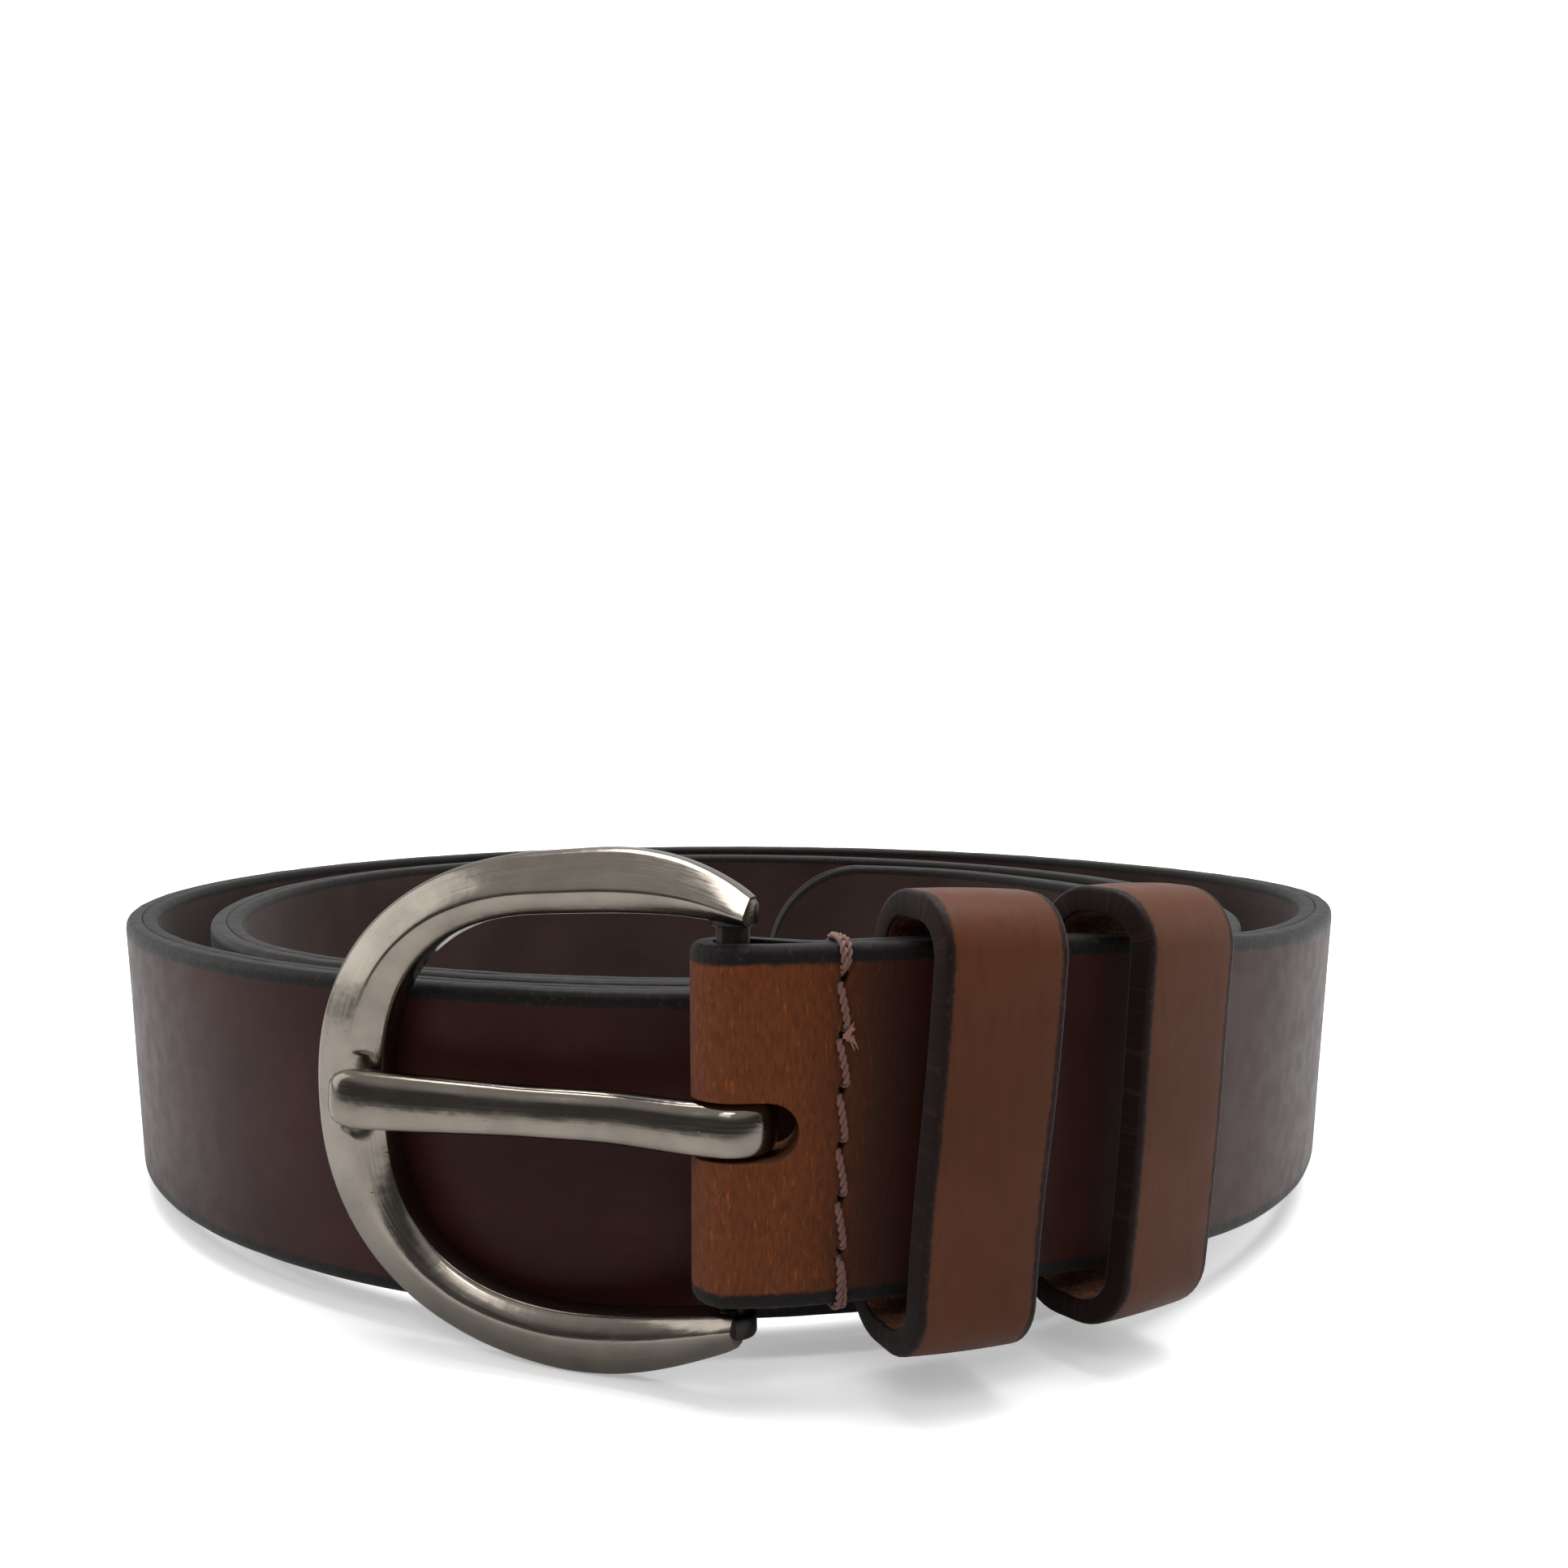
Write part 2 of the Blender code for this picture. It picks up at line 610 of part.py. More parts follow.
def stand_on_floor(*collections):
    """Lean the finished coil back on its rear edge and put its origin under its middle."""
    belt_place = bpy.data.objects.new("belt_place", None)
    loose = [item for collection in collections for item in collection.objects
             if item.parent is None]
    collections[0].objects.link(belt_place)
    for item in loose:
        item.parent = belt_place
    belt_place.rotation_euler.x = -LEAN
    belt_place.location = REST_SHIFT


def main():
    belt, cutters = start_scene()
    face = add_strap(belt, cutters)
    add_stitching(belt, cutters, face)
    for name, seat in KEEPERS.items():
        add_keeper(name, seat, belt, cutters)
    frame = add_buckle_frame(belt, cutters)
    add_notch(frame, cutters)
    place = buckle_matrix()
    add_cylinder("heel_bar", place @ Vector((0, -BAR_HALF_LENGTH, 0)),
                 place @ Vector((0, BAR_HALF_LENGTH, 0)), BAR_RADIUS, belt, 16)
    add_prong(belt, cutters)
    add_pivots(belt)
    stand_on_floor(belt, cutters)


main()
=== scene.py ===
"""Looks of a wound leather dress belt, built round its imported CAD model.

Lengths are written in millimetres in the coil's own frame, as the CAD source has them: the coil's
axis is vertical, its lower edge lies in the plane z = 0, and the buckle is at the front, -Y.
`COIL` takes that frame to the one that the CAD model stands in.
"""

import json
import math
import random
from bisect import bisect_right

import bmesh
import bpy
import numpy as np
from mathutils import Matrix, Vector, noise


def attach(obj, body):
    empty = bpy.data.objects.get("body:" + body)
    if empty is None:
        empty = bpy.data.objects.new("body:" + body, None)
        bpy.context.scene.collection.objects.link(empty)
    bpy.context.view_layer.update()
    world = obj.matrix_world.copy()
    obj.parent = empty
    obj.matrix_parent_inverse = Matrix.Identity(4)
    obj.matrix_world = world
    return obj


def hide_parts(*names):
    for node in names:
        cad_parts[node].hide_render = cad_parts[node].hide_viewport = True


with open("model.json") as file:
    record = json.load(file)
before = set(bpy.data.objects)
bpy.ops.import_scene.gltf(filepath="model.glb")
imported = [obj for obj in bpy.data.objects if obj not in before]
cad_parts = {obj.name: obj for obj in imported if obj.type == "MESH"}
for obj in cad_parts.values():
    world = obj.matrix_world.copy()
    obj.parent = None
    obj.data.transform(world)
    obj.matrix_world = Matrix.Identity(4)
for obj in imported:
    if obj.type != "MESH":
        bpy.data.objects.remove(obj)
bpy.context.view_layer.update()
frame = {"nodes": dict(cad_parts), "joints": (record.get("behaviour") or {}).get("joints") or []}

MM = 0.001
UP = Vector((0, 0, 1))

# Strap, wound as the CAD source winds it: (degrees from the front, distance to its outer surface)
STRAP_WIDTH = 35.0
FACE = 2.1
LINING = 1.8
PLY_GAP = 0.3
STRAP_THICKNESS = FACE + PLY_GAP + LINING
WINDING = (
    (0, 102.4), (14, 99.4), (27, 95.8), (41, 92.2), (62, 90), (90, 90), (180, 90), (270, 89.2),
    (330, 89.2), (360, 89.4), (390, 86), (420, 79.5), (450, 73.4), (480, 69.8), (505, 69.2),
    (540, 70), (590, 73.6), (618, 74.4), (640, 75.8), (661, 79.6), (676, 83.2), (690, 84.6),
    (720, 84.8), (750, 80.4), (780, 72.8), (810, 64), (830, 58.5), (850, 56), (870, 51.8),
    (890, 46.5),
)
TIP_ANGLE = WINDING[-1][0]
RISE = ((0, 6.3), (15, 6.1), (30, 4.4), (45, 2.3), (75, 1.5), (130, 0), (TIP_ANGLE, 0))
SEGMENT = 2.2
TIP_COLUMNS = 24
FACE_STARTS_ANGLE = 2.6
LINING_REACH = 0.12
GRAIN_CORNER = (0.85, 1.25)
LINING_CORNER = (0.75, 1.0)
CUT_CORNER = (0.12, 0.12)
LINING_CUT_CORNER = (0.10, 0.12)

# Buckle end
BAR_PLACE = Vector((0.8, -98.4, 23.8))
BAR_RADIUS = 1.6
FOLD_RADIUS = BAR_RADIUS + PLY_GAP + FACE / 2
FLAP_GAP = 0.08
FLAP_JOINS_ANGLE = 5.4
FLAP_END_ANGLE = 20.5
LINING_GAP_ANGLE = 0.3
SKIVE_LENGTH = 9.0
SKIVE_THINNEST = 0.45
SLOT_HALF_WIDTH = 2.9
SLOT_REACH = 6.2
SLOT_DEPTH = 8.0

# Holes and stitches. An awl hole is a slanting slit: (half length, half width, depth).
HOLE_COUNT = 5
HOLE_RADIUS = 2.3
HOLE_PITCH = 25.0
FIRST_HOLE = 100.0
STITCH_ANGLE = 6.2
STITCH_HOLES = 6
STITCH_PITCH = 5.3
STITCH_FIRST = 5.4
AWL_SLANT = (0.94, 0.34)
AWL_HOLE = (0.95, 0.42, 1.4)
THREAD_RADIUS = 0.35
THREAD_STEP = 0.22
THREAD_PITCH = 1.7
THREAD_STRANDS = 2
FRAYED_FIBRES = 16

# Buckle, in its own plane: u from the heel bar to the closed end, v up, w out
BUCKLE_LEAN = math.radians(19.5)
FRAME_CENTRE_U = 15.0
FRAME_OUTER = (31.8, 26.9)
FRAME_INNER = (23.0, 20.35)
FRAME_OUTER_POWER = 2.24
FRAME_INNER_POWER = 2.6
OUTER_DROOP = 1.5
INNER_DROOP = 1.0
DROOP_SPAN = 20.0
FRAME_THICKNESS = 4.4
RIDGE = 0.36
INNER_RIM_HEIGHT = 0.20
OUTER_RIM_HEIGHT = -0.05
SEAT_CUT = 0.9
SEAT_CLEARANCE = 0.25
SEAT_RAMP = 1.0
UPPER_ARM_END = ((-2.3, 21.9), (-2.3, 19.1))
LOWER_ARM_END = ((-1.1, 22.2), (-1.1, 18.1))
ARM_END_THICKNESS = 4.2
ARM_END_FORWARD = 2.1
LUG_RADIUS = 2.4
LUG_INNER = 19.0
LUG_OUTER = 21.3
LUG_ROUNDING = 0.4
BAR_HALF_LENGTH = 20.4
BAR_ROUNDING = 0.3
BORE_CLEARANCE = 0.12
PRONG_LINE = (
    (0.5, 3.1, 1.25), (3.5, 3.0, 1.4), (7.5, 2.5, 1.5), (12, 2.0, 1.5), (20, 2.6, 1.5),
    (30, 3.5, 1.5), (37, 3.9, 1.5), (40.6, 3.9, 1.3), (42.4, 3.7, 0.8),
)
PRONG_HALF_WIDTH = 2.5
PRONG_TIP_HALF_WIDTH = 3.1
PRONG_CANT = 0.14
PRONG_SQUARENESS = 2.7
EYE_RADIUS = 4.4
EYE_HALF_WIDTH = 2.55
EYE_CLEARANCE = 0.25
EYE_WRAP = (318.0, 84.0)

# Keepers: name: (degrees wound, tilt on the strap in degrees, lift off the strap's middle)
KEEPERS = {"keeper_1": (13.1, -1.2, -0.35), "keeper_2": (25.9, 2.2, 0.2)}
KEEPER_WIDTH = 13.0
KEEPER_LEATHER = 2.6
KEEPER_HEIGHT = 44.8
KEEPER_SLACK = 3.8
KEEPER_BACK_ROOM = 1.2
KEEPER_CORNER = 4.6
KEEPER_SEAM = 0.5
KEEPER_CROWN = 0.16
KEEPER_SWELL = 0.14
KEEPER_SWAY = 0.25


def coil_matrix():
    """Coil frame in millimetres to world metres, from the heel bar's joint in the CAD model."""
    joint = next(j for j in frame["joints"] if j["name"] == "buckle_swing")
    axis = Vector(joint["axis"])
    lean = Matrix.Rotation(-math.atan2(axis.y, axis.z), 4, "X") @ Matrix.Scale(MM, 4)
    return Matrix.Translation(Vector(joint["pos_m"]) - lean @ BAR_PLACE) @ lean


COIL = coil_matrix()


# ---- Line of the strap ----------------------------------------------------------------------

def ease(share):
    """Smooth step from 0 to 1."""
    share = min(max(share, 0.0), 1.0)
    return share * share * (3 - 2 * share)


def smooth_value(stations, at):
    """Value at `at` of a smooth curve through (position, value) stations."""
    index = min(max(bisect_right([s[0] for s in stations], at) - 1, 0), len(stations) - 2)

    def slope(k):
        low, high = stations[max(k - 1, 0)], stations[min(k + 1, len(stations) - 1)]
        return 0.0 if k == 0 else (high[1] - low[1]) / (high[0] - low[0])

    (start, value_0), (end, value_1) = stations[index], stations[index + 1]
    span = end - start
    t = (at - start) / span
    return ((1 + 2 * t) * (1 - t) ** 2 * value_0 + t * (1 - t) ** 2 * span * slope(index)
            + t * t * (3 - 2 * t) * value_1 + t * t * (t - 1) * span * slope(index + 1))


def winding_point(angle):
    """Point of the strap's outer surface on its lower edge."""
    turn = math.radians(angle)
    radius = smooth_value(WINDING, angle)
    return Vector((radius * math.sin(turn), -radius * math.cos(turn), smooth_value(RISE, angle)))


def strap_frame(angle):
    """Mid-width point of the outer surface, with the strap's tangent, outward normal and up."""
    step = 0.2
    tangent = (winding_point(angle + step) - winding_point(angle - step)).normalized()
    outward = tangent.cross(UP).normalized()
    return winding_point(angle) + UP * STRAP_WIDTH / 2, tangent, outward, outward.cross(tangent)


def ply_point(angle, depth):
    """Lower-edge point `depth` inside the strap's outer surface."""
    return winding_point(angle) - strap_frame(angle)[2] * depth


def angles_between(start, end):
    """Winding angles from start to end, about one segment of strap apart."""
    angles = [start]
    while True:
        step = math.degrees(SEGMENT / smooth_value(WINDING, angles[-1]))
        if angles[-1] + step * 1.5 >= end:
            return angles + [end]
        angles.append(angles[-1] + step)


def angle_before_tip(distance):
    """Winding angle at a distance along the strap from its tip."""
    step = 0.1
    angle = TIP_ANGLE
    travelled = 0.0
    while travelled < distance:
        travelled += (winding_point(angle) - winding_point(angle - step)).length
        angle -= step
    return angle


def strap_columns(start):
    """Winding angles of the strap's columns, close together where the tip is rounded."""
    tip = [angle_before_tip(STRAP_WIDTH / 2 * (1 - math.sin(math.pi / 2 * k / TIP_COLUMNS)))
           for k in range(TIP_COLUMNS)]
    return angles_between(start, tip[0])[:-1] + tip + [TIP_ANGLE]


def fold_line():
    """Middle of the face ply from the flap's end, round the heel bar, to the strap."""
    points = [ply_point(angle, FACE + FLAP_GAP + FACE / 2)
              for angle in reversed(angles_between(FLAP_JOINS_ANGLE, FLAP_END_ANGLE))]
    lift = smooth_value(RISE, 0)
    bar = Vector((BAR_PLACE.x, BAR_PLACE.y, lift))
    back = bar + Vector((0, FOLD_RADIUS, 0))
    joined = points[-1]
    for step in range(1, 5):
        share = step / 5
        points.append(Vector((joined.x + (back.x - joined.x) * share,
                              joined.y + (back.y - joined.y) * ease(share), lift)))
    for step in range(25):
        turn = math.pi * step / 24
        points.append(bar + Vector((-math.sin(turn), math.cos(turn), 0)) * FOLD_RADIUS)
    return points


# ---- Mesh tools -----------------------------------------------------------------------------

def make_object(name, mesh):
    """Object in the scene, with its mesh taken from the coil frame to the world."""
    mesh.transform(COIL)
    item = bpy.data.objects.new(name, mesh)
    bpy.context.scene.collection.objects.link(item)
    return item


def recalculate(mesh):
    """Turn every face outward."""
    bm = bmesh.new()
    bm.from_mesh(mesh)
    bmesh.ops.recalc_face_normals(bm, faces=bm.faces)
    bm.to_mesh(mesh)
    bm.free()


def write_coordinates(mesh, values):
    """Store each point's own (along, across, edge distance) in mm, for the materials."""
    store = mesh.attributes.new("surface", "FLOAT_VECTOR", "CORNER")
    corners = np.zeros(len(mesh.loops), np.int32)
    mesh.loops.foreach_get("vertex_index", corners)
    store.data.foreach_set("vector", np.asarray(values, np.float32)[corners].ravel())


def skin(name, rings, values):
    """Closed mesh over rings of points that all have the same number of points."""
    count = len(rings[0])
    verts = [point for ring in rings for point in ring]
    faces = [tuple(range(count)), tuple(range(len(verts) - count, len(verts)))]
    for k in range(len(rings) - 1):
        for j in range(count):
            low, high = k * count + j, k * count + (j + 1) % count
            faces.append((low, high, high + count, low + count))
    mesh = bpy.data.meshes.new(name)
    mesh.from_pydata(verts, [], faces)
    recalculate(mesh)
    write_coordinates(mesh, [v for row in values for v in row])
    mesh.shade_smooth()
    mesh.set_sharp_from_angle(angle=math.radians(50))
    return mesh


def sweep(name, stations, section):
    """Skin of section(along) = [(x, y, edge)] carried along stations (origin, x axis, y axis)."""
    rings, values = [], []
    along = 0.0
    for k, (origin, x_axis, y_axis) in enumerate(stations):
        along += (origin - stations[k - 1][0]).length if k else 0.0
        outline = section(along)
        rings.append([origin + x_axis * x + y_axis * y for x, y, _ in outline])
        values.append([(along, y, edge) for _, y, edge in outline])
    return skin(name, rings, values)


def tube(points, radius, sides=8):
    """Rings of a round tube along points, with small rounded ends."""
    rings = []
    side = None
    for k, point in enumerate(points):
        tangent = (points[min(k + 1, len(points) - 1)] - points[max(k - 1, 0)]).normalized()
        side = tangent.orthogonal() if side is None else side - tangent * side.dot(tangent)
        side = side.normalized()
        other = tangent.cross(side)
        size = radius * (0.45 if k in (0, len(points) - 1) else 1)
        rings.append([point + (side * math.cos(2 * math.pi * j / sides)
                               + other * math.sin(2 * math.pi * j / sides)) * size
                      for j in range(sides)])
    return rings


def merge(name, meshes):
    """One mesh out of several."""
    bm = bmesh.new()
    for mesh in meshes:
        bm.from_mesh(mesh)
        bpy.data.meshes.remove(mesh)
    whole = bpy.data.meshes.new(name)
    bm.to_mesh(whole)
    bm.free()
    return whole


def cylinder(name, start, end, radius, ends=0.0):
    """Round bar between two points, with its ends rounded over by `ends`."""
    sides = 32
    axis = (end - start).normalized()
    points = [(start, radius - ends), (start + axis * ends * 0.3, radius - ends * 0.3),
              (start + axis * ends, radius), (end - axis * ends, radius),
              (end - axis * ends * 0.3, radius - ends * 0.3), (end, radius - ends)]
    if not ends:
        points = [points[0], points[-1]]
    side = axis.orthogonal().normalized()
    other = axis.cross(side)
    rings, values = [], []
    for point, size in points:
        turns = [2 * math.pi * j / sides for j in range(sides)]
        rings.append([point + (side * math.cos(t) + other * math.sin(t)) * size for t in turns])
        values.append([((point - start).length, t * size, size) for t in turns])
    return skin(name, rings, values)


def apply_modifiers(item):
    """Replace an object's mesh by what its modifiers make of it."""
    evaluated = item.evaluated_get(bpy.context.evaluated_depsgraph_get())
    mesh = bpy.data.meshes.new_from_object(evaluated)
    item.modifiers.clear()
    item.data = mesh
    mesh.shade_smooth()
    mesh.set_sharp_from_angle(angle=math.radians(38))


def combine(item, meshes, operation, marked=False):
    """Boolean of an object with some meshes. `marked` gives the cut faces its second material."""
    cutter = make_object(item.name + "_cutter", merge(item.name + "_cutter", meshes))
    if marked:
        cutter.data.materials.append(item.data.materials[0])
        cutter.data.materials.append(item.data.materials[1])
        for face in cutter.data.polygons:
            face.material_index = 1
    step = item.modifiers.new("combine", "BOOLEAN")
    step.operation = operation
    step.solver = "EXACT"
    step.object = cutter
    apply_modifiers(item)
    bpy.data.objects.remove(cutter)


# ---- Materials ------------------------------------------------------------------------------

def add_node(tree, kind, inputs=None, **settings):
    """Shader node with its settings, and its inputs set or linked."""
    made = tree.nodes.new("ShaderNode" + kind)
    for key, value in settings.items():
        setattr(made, key, value)
    for key, value in (inputs or {}).items():
        if isinstance(value, bpy.types.NodeSocket):
            tree.links.new(value, made.inputs[key])
        else:
            made.inputs[key].default_value = value
    return made


class Shader:
    """Material with a Principled shader and short ways to add what feeds it."""

    def __init__(self, name, attribute=True):
        self.material = bpy.data.materials.new(name)
        self.material.use_nodes = True
        self.tree = self.material.node_tree
        self.principled = self.tree.nodes["Principled BSDF"]
        if attribute:
            self.point = self.add("Attribute", attribute_name="surface").outputs["Vector"]
        else:
            metres = self.add("TexCoord").outputs["Object"]
            self.point = self.scaled(metres, (1 / MM,) * 3)

    def add(self, kind, inputs=None, **settings):
        return add_node(self.tree, kind, inputs, **settings)

    def scaled(self, vector, scale):
        return self.add("VectorMath", {0: vector, 1: scale}, operation="MULTIPLY").outputs[0]

    def noise(self, per_mm, stretch=(1, 1, 0.15), detail=3.0, roughness=0.55):
        """Noise from 0 to 1, with `per_mm` features to a millimetre."""
        vector = self.scaled(self.point, stretch)
        return self.add("TexNoise", {"Vector": vector, "Scale": per_mm, "Detail": detail,
                                     "Roughness": roughness}).outputs["Fac"]

    def math(self, operation, first, second=0.0, third=0.0):
        return self.add("Math", {0: first, 1: second, 2: third}, operation=operation).outputs[0]

    def ramp(self, value, low, high, out_low=0.0, out_high=1.0):
        """Smooth step of a value between two limits."""
        return self.add("MapRange", {"Value": value, "From Min": low, "From Max": high,
                                     "To Min": out_low, "To Max": out_high},
                        interpolation_type="SMOOTHSTEP").outputs["Result"]

    def mix(self, factor, first, second):
        """Colour between two colours."""
        inputs = {"Factor": factor, 6: first, 7: second}
        return self.add("Mix", inputs, data_type="RGBA").outputs[2]

    def split(self):
        return self.add("SeparateXYZ", {0: self.point}).outputs

    def bump(self, layers):
        """Bump from (height, depth in mm) layers."""
        normal = None
        for height, depth in layers:
            inputs = {"Height": height, "Distance": depth * MM, "Strength": 1.0}
            if normal:
                inputs["Normal"] = normal
            normal = self.add("Bump", inputs).outputs["Normal"]
        self.tree.links.new(normal, self.principled.inputs["Normal"])

    def finish(self, colour, roughness, **constants):
        for key, value in (("Base Color", colour), ("Roughness", roughness)):
            if isinstance(value, bpy.types.NodeSocket):
                self.tree.links.new(value, self.principled.inputs[key])
            else:
                self.principled.inputs[key].default_value = value
        for key, value in constants.items():
            self.principled.inputs[key.replace("_", " ")].default_value = value
        return self.material


def rgb(red, green, blue):
    return (red, green, blue, 1.0)


EDGE_PAINT = rgb(0.007, 0.0055, 0.005)


def darker(tone, share):
    """A colour times a share, which may also be over 1."""
    return tuple(value * share for value in tone[:3]) + (1.0,)


def leather(name, dark, light, warm=None, paint=EDGE_PAINT, paint_reach=1.7, gloss=0.40,
            shine=0.12):
    """Smooth waxed leather: faint mottle and pores, and painted edges.

    `warm` is (colour, start, end): the colour where the leather is stretched round the heel bar,
    and the distances along the strap between which it fades out.  That lighter tone is partly
    the leather's own pull-up and partly painted light on the fold; its darkening away from the
    fold is partly painted shade.  It is drawn into fine upright wrinkles there, with painted
    shade in their creases and painted highlights as lighter streaks.  `paint_reach` is the
    width of the edge paint in mm, `gloss` the roughness and `shine` the specular level.
    """
    made = Shader(name)
    along, _, edge = made.split()
    mottle = made.noise(0.05, detail=3)
    pore = made.noise(6.0, detail=2)
    hair = made.noise(0.9, stretch=(0.25, 1.0, 0.0), detail=5, roughness=0.65)
    layers = [(hair, 0.010), (pore, 0.005)]
    colour = made.mix(made.ramp(mottle, 0.34, 0.68), dark, light)
    colour = made.mix(made.math("MULTIPLY", made.ramp(hair, 0.45, 0.72), 0.25), colour,
                      darker(dark, 0.6))
    if warm:
        tone, start, end = warm
        wrinkle = made.noise(2.8, stretch=(1.0, 0.22, 0.0), detail=5, roughness=0.70)
        spot = made.math("ADD", along, made.math("MULTIPLY", mottle, 5.0))
        fade = made.ramp(spot, start, end, 1.0, 0.0)
        # Fold tone fading to dark along the strap: partly pull-up, partly painted light and
        # painted shade.
        deep = made.mix(fade, darker(tone, 0.17), tone)
        # Darker tone along the wrinkles' creases: painted shade.
        crease_shade = made.mix(0.5, deep, darker(tone, 0.14))
        pulled_and_lit = made.mix(made.ramp(wrinkle, 0.36, 0.70), deep, crease_shade)
        # Lighter streaks on the fold: painted highlights; where the fold tone fades, the same
        # streaks turn darker.
        painted_glint = made.ramp(made.noise(3.4, stretch=(1.0, 0.16, 0.0), detail=3), 0.58, 0.72)
        pulled_and_lit = made.mix(made.math("MULTIPLY", painted_glint, 0.55), pulled_and_lit,
                          made.mix(fade, darker(tone, 0.4), darker(tone, 2.4)))
        reach = made.ramp(spot, end - 6, end + 6, 1.0, 0.0)
        colour = made.mix(reach, colour, pulled_and_lit)
        layers.append((made.math("MULTIPLY", wrinkle, reach), 0.25))
    fleck = made.math("MULTIPLY", made.ramp(pore, 0.60, 0.76), 0.18)
    colour = made.mix(fleck, colour, darker(dark, 0.35))
    ragged = made.math("ADD", edge, made.math("MULTIPLY_ADD", made.noise(1.3), 0.6, -0.3))
    painted = made.ramp(ragged, paint_reach - 0.25, paint_reach + 0.25, 1.0, 0.0)
    worn = made.mix(made.ramp(made.noise(1.6), 0.52, 0.78), paint, darker(paint, 3.2))
    colour = made.mix(painted, colour, worn)
    rough = made.ramp(made.noise(0.35), 0.3, 0.7, gloss - 0.04, gloss + 0.05)
    rough = made.math("MULTIPLY_ADD", painted, 0.05, rough)
    layers.append((made.math("MULTIPLY", painted, made.noise(1.1)), 0.05))
    made.bump(layers)
    return made.finish(colour, rough, Specular_IOR_Level=shine,
                       Sheen_Weight=0.08, Sheen_Roughness=0.45)


def suede(name, dark, light):
    """Raw flesh side or cut edge: short matted fibres."""
    made = Shader(name)
    fibre = made.noise(2.6, stretch=(1.0, 0.45, 1.0), detail=6, roughness=0.7)
    patch = made.noise(0.4, detail=3)
    colour = made.mix(made.ramp(made.math("MULTIPLY_ADD", patch, 0.5, fibre), 0.55, 1.0), dark,
                      light)
    made.bump([(fibre, 0.16)])
    return made.finish(colour, 0.92, Specular_IOR_Level=0.25)


def gunmetal(name, tone, gloss=0.16):
    """Polished dark plating, lightly brushed along the part, with small pits and scuffs."""
    made = Shader(name)
    lines = made.noise(2.0, stretch=(0.05, 2.4, 1.0), detail=4, roughness=0.7)
    cloud = made.noise(0.16, detail=4)
    pit = made.ramp(made.noise(1.3, detail=2), 0.70, 0.80)
    colour = made.mix(made.ramp(cloud, 0.35, 0.7), tone, darker(tone, 0.80))
    colour = made.mix(made.math("MULTIPLY", pit, 0.5), colour, rgb(0.05, 0.05, 0.05))
    rough = made.ramp(lines, 0.3, 0.75, gloss - 0.05, gloss + 0.12)
    rough = made.math("MULTIPLY_ADD", made.ramp(cloud, 0.5, 0.8), 0.10, rough)
    made.bump([(lines, 0.004), (made.noise(0.35, detail=2), 0.04), (pit, 0.01)])
    return made.finish(colour, rough, Metallic=1.0)


def thread(name, tone):
    """Waxed twisted thread with fine fibres."""
    made = Shader(name)
    fibre = made.noise(4.0, stretch=(0.3, 3.0, 1.0), detail=4)
    colour = made.mix(made.ramp(fibre, 0.3, 0.7), darker(tone, 0.5), tone)
    made.bump([(fibre, 0.04)])
    return made.finish(colour, 0.62, Sheen_Weight=0.2)


def staple_steel(name):
    """Bright drawn wire."""
    made = Shader(name, attribute=False)
    drawn = made.noise(3.0, detail=3)
    made.bump([(drawn, 0.01)])
    return made.finish(rgb(0.62, 0.62, 0.60), made.ramp(drawn, 0.3, 0.7, 0.25, 0.4),
                       Metallic=1.0)


# ---- Strap ----------------------------------------------------------------------------------

def ply_outline(half, thickness, grain, flesh, rows=9):
    """Outline of a ply: (out of its middle, height, distance from the edge) round its section.

    `grain` and `flesh` are the (depth, height) radii of the corners on its two sides.
    """
    corners = 5
    outline = []
    half = max(half, 0.02)
    for sign_x, sign_y, (depth, height), start in ((1, 1, grain, 0), (-1, 1, flesh, 90),
                                                   (-1, -1, flesh, 180), (1, -1, grain, 270)):
        height = min(height, half * 0.9)
        centre = (sign_x * (thickness / 2 - depth), sign_y * (half - height))
        for step in range(corners + 1):
            turn = math.radians(start + 90 * step / corners)
            outline.append((centre[0] + depth * math.cos(turn),
                            centre[1] + height * math.sin(turn)))
        if start in (90, 270):
            flat = half - height
            x = sign_x * thickness / 2
            ladder = [flat * (1 - 2 * step / rows) for step in range(1, rows)]
            outline += [(x, y * sign_y) for y in ladder]
    return [(x, y, half - abs(y)) for x, y in outline]


def line_stations(line):
    """Stations along the lower edge of a ply, facing the grain side."""
    stations = []
    for k, point in enumerate(line):
        tangent = line[min(k + 1, len(line) - 1)] - line[max(k - 1, 0)]
        tangent.z = 0
        side = tangent.cross(UP).normalized()
        stations.append((point + UP * STRAP_WIDTH / 2, side, UP))
    return stations


def half_width(remaining):
    """Half width of the strap at a distance from its half-round tip."""
    radius = STRAP_WIDTH / 2
    if remaining >= radius:
        return radius
    return math.sqrt(max(0.0, radius ** 2 - (radius - remaining) ** 2))


def ribbon(name, line, thickness, grain, flesh, skived=False):
    """Ply of leather along a line, rounded at the tip. `skived` thins it at its start."""
    length = sum((b - a).length for a, b in zip(line, line[1:]))

    def section(along):
        thin = 1.0
        if skived and along < SKIVE_LENGTH:
            thin = SKIVE_THINNEST + (1 - SKIVE_THINNEST) * along / SKIVE_LENGTH
        outline = ply_outline(half_width(length - along), thickness, grain, flesh)
        made = []
        for x, y, edge in outline:
            swell = noise.noise(Vector((along * 0.07, y * 0.06, thickness))) * 0.10
            ragged = noise.noise(Vector((along * 0.22, math.copysign(3, y), x * 0.2))) * 0.07
            near = max(0.0, 1 - edge / 2.5)
            made.append((x * thin + swell * (x > 0), y + ragged * near, edge))
        return made

    return sweep(name, line_stations(line), section)


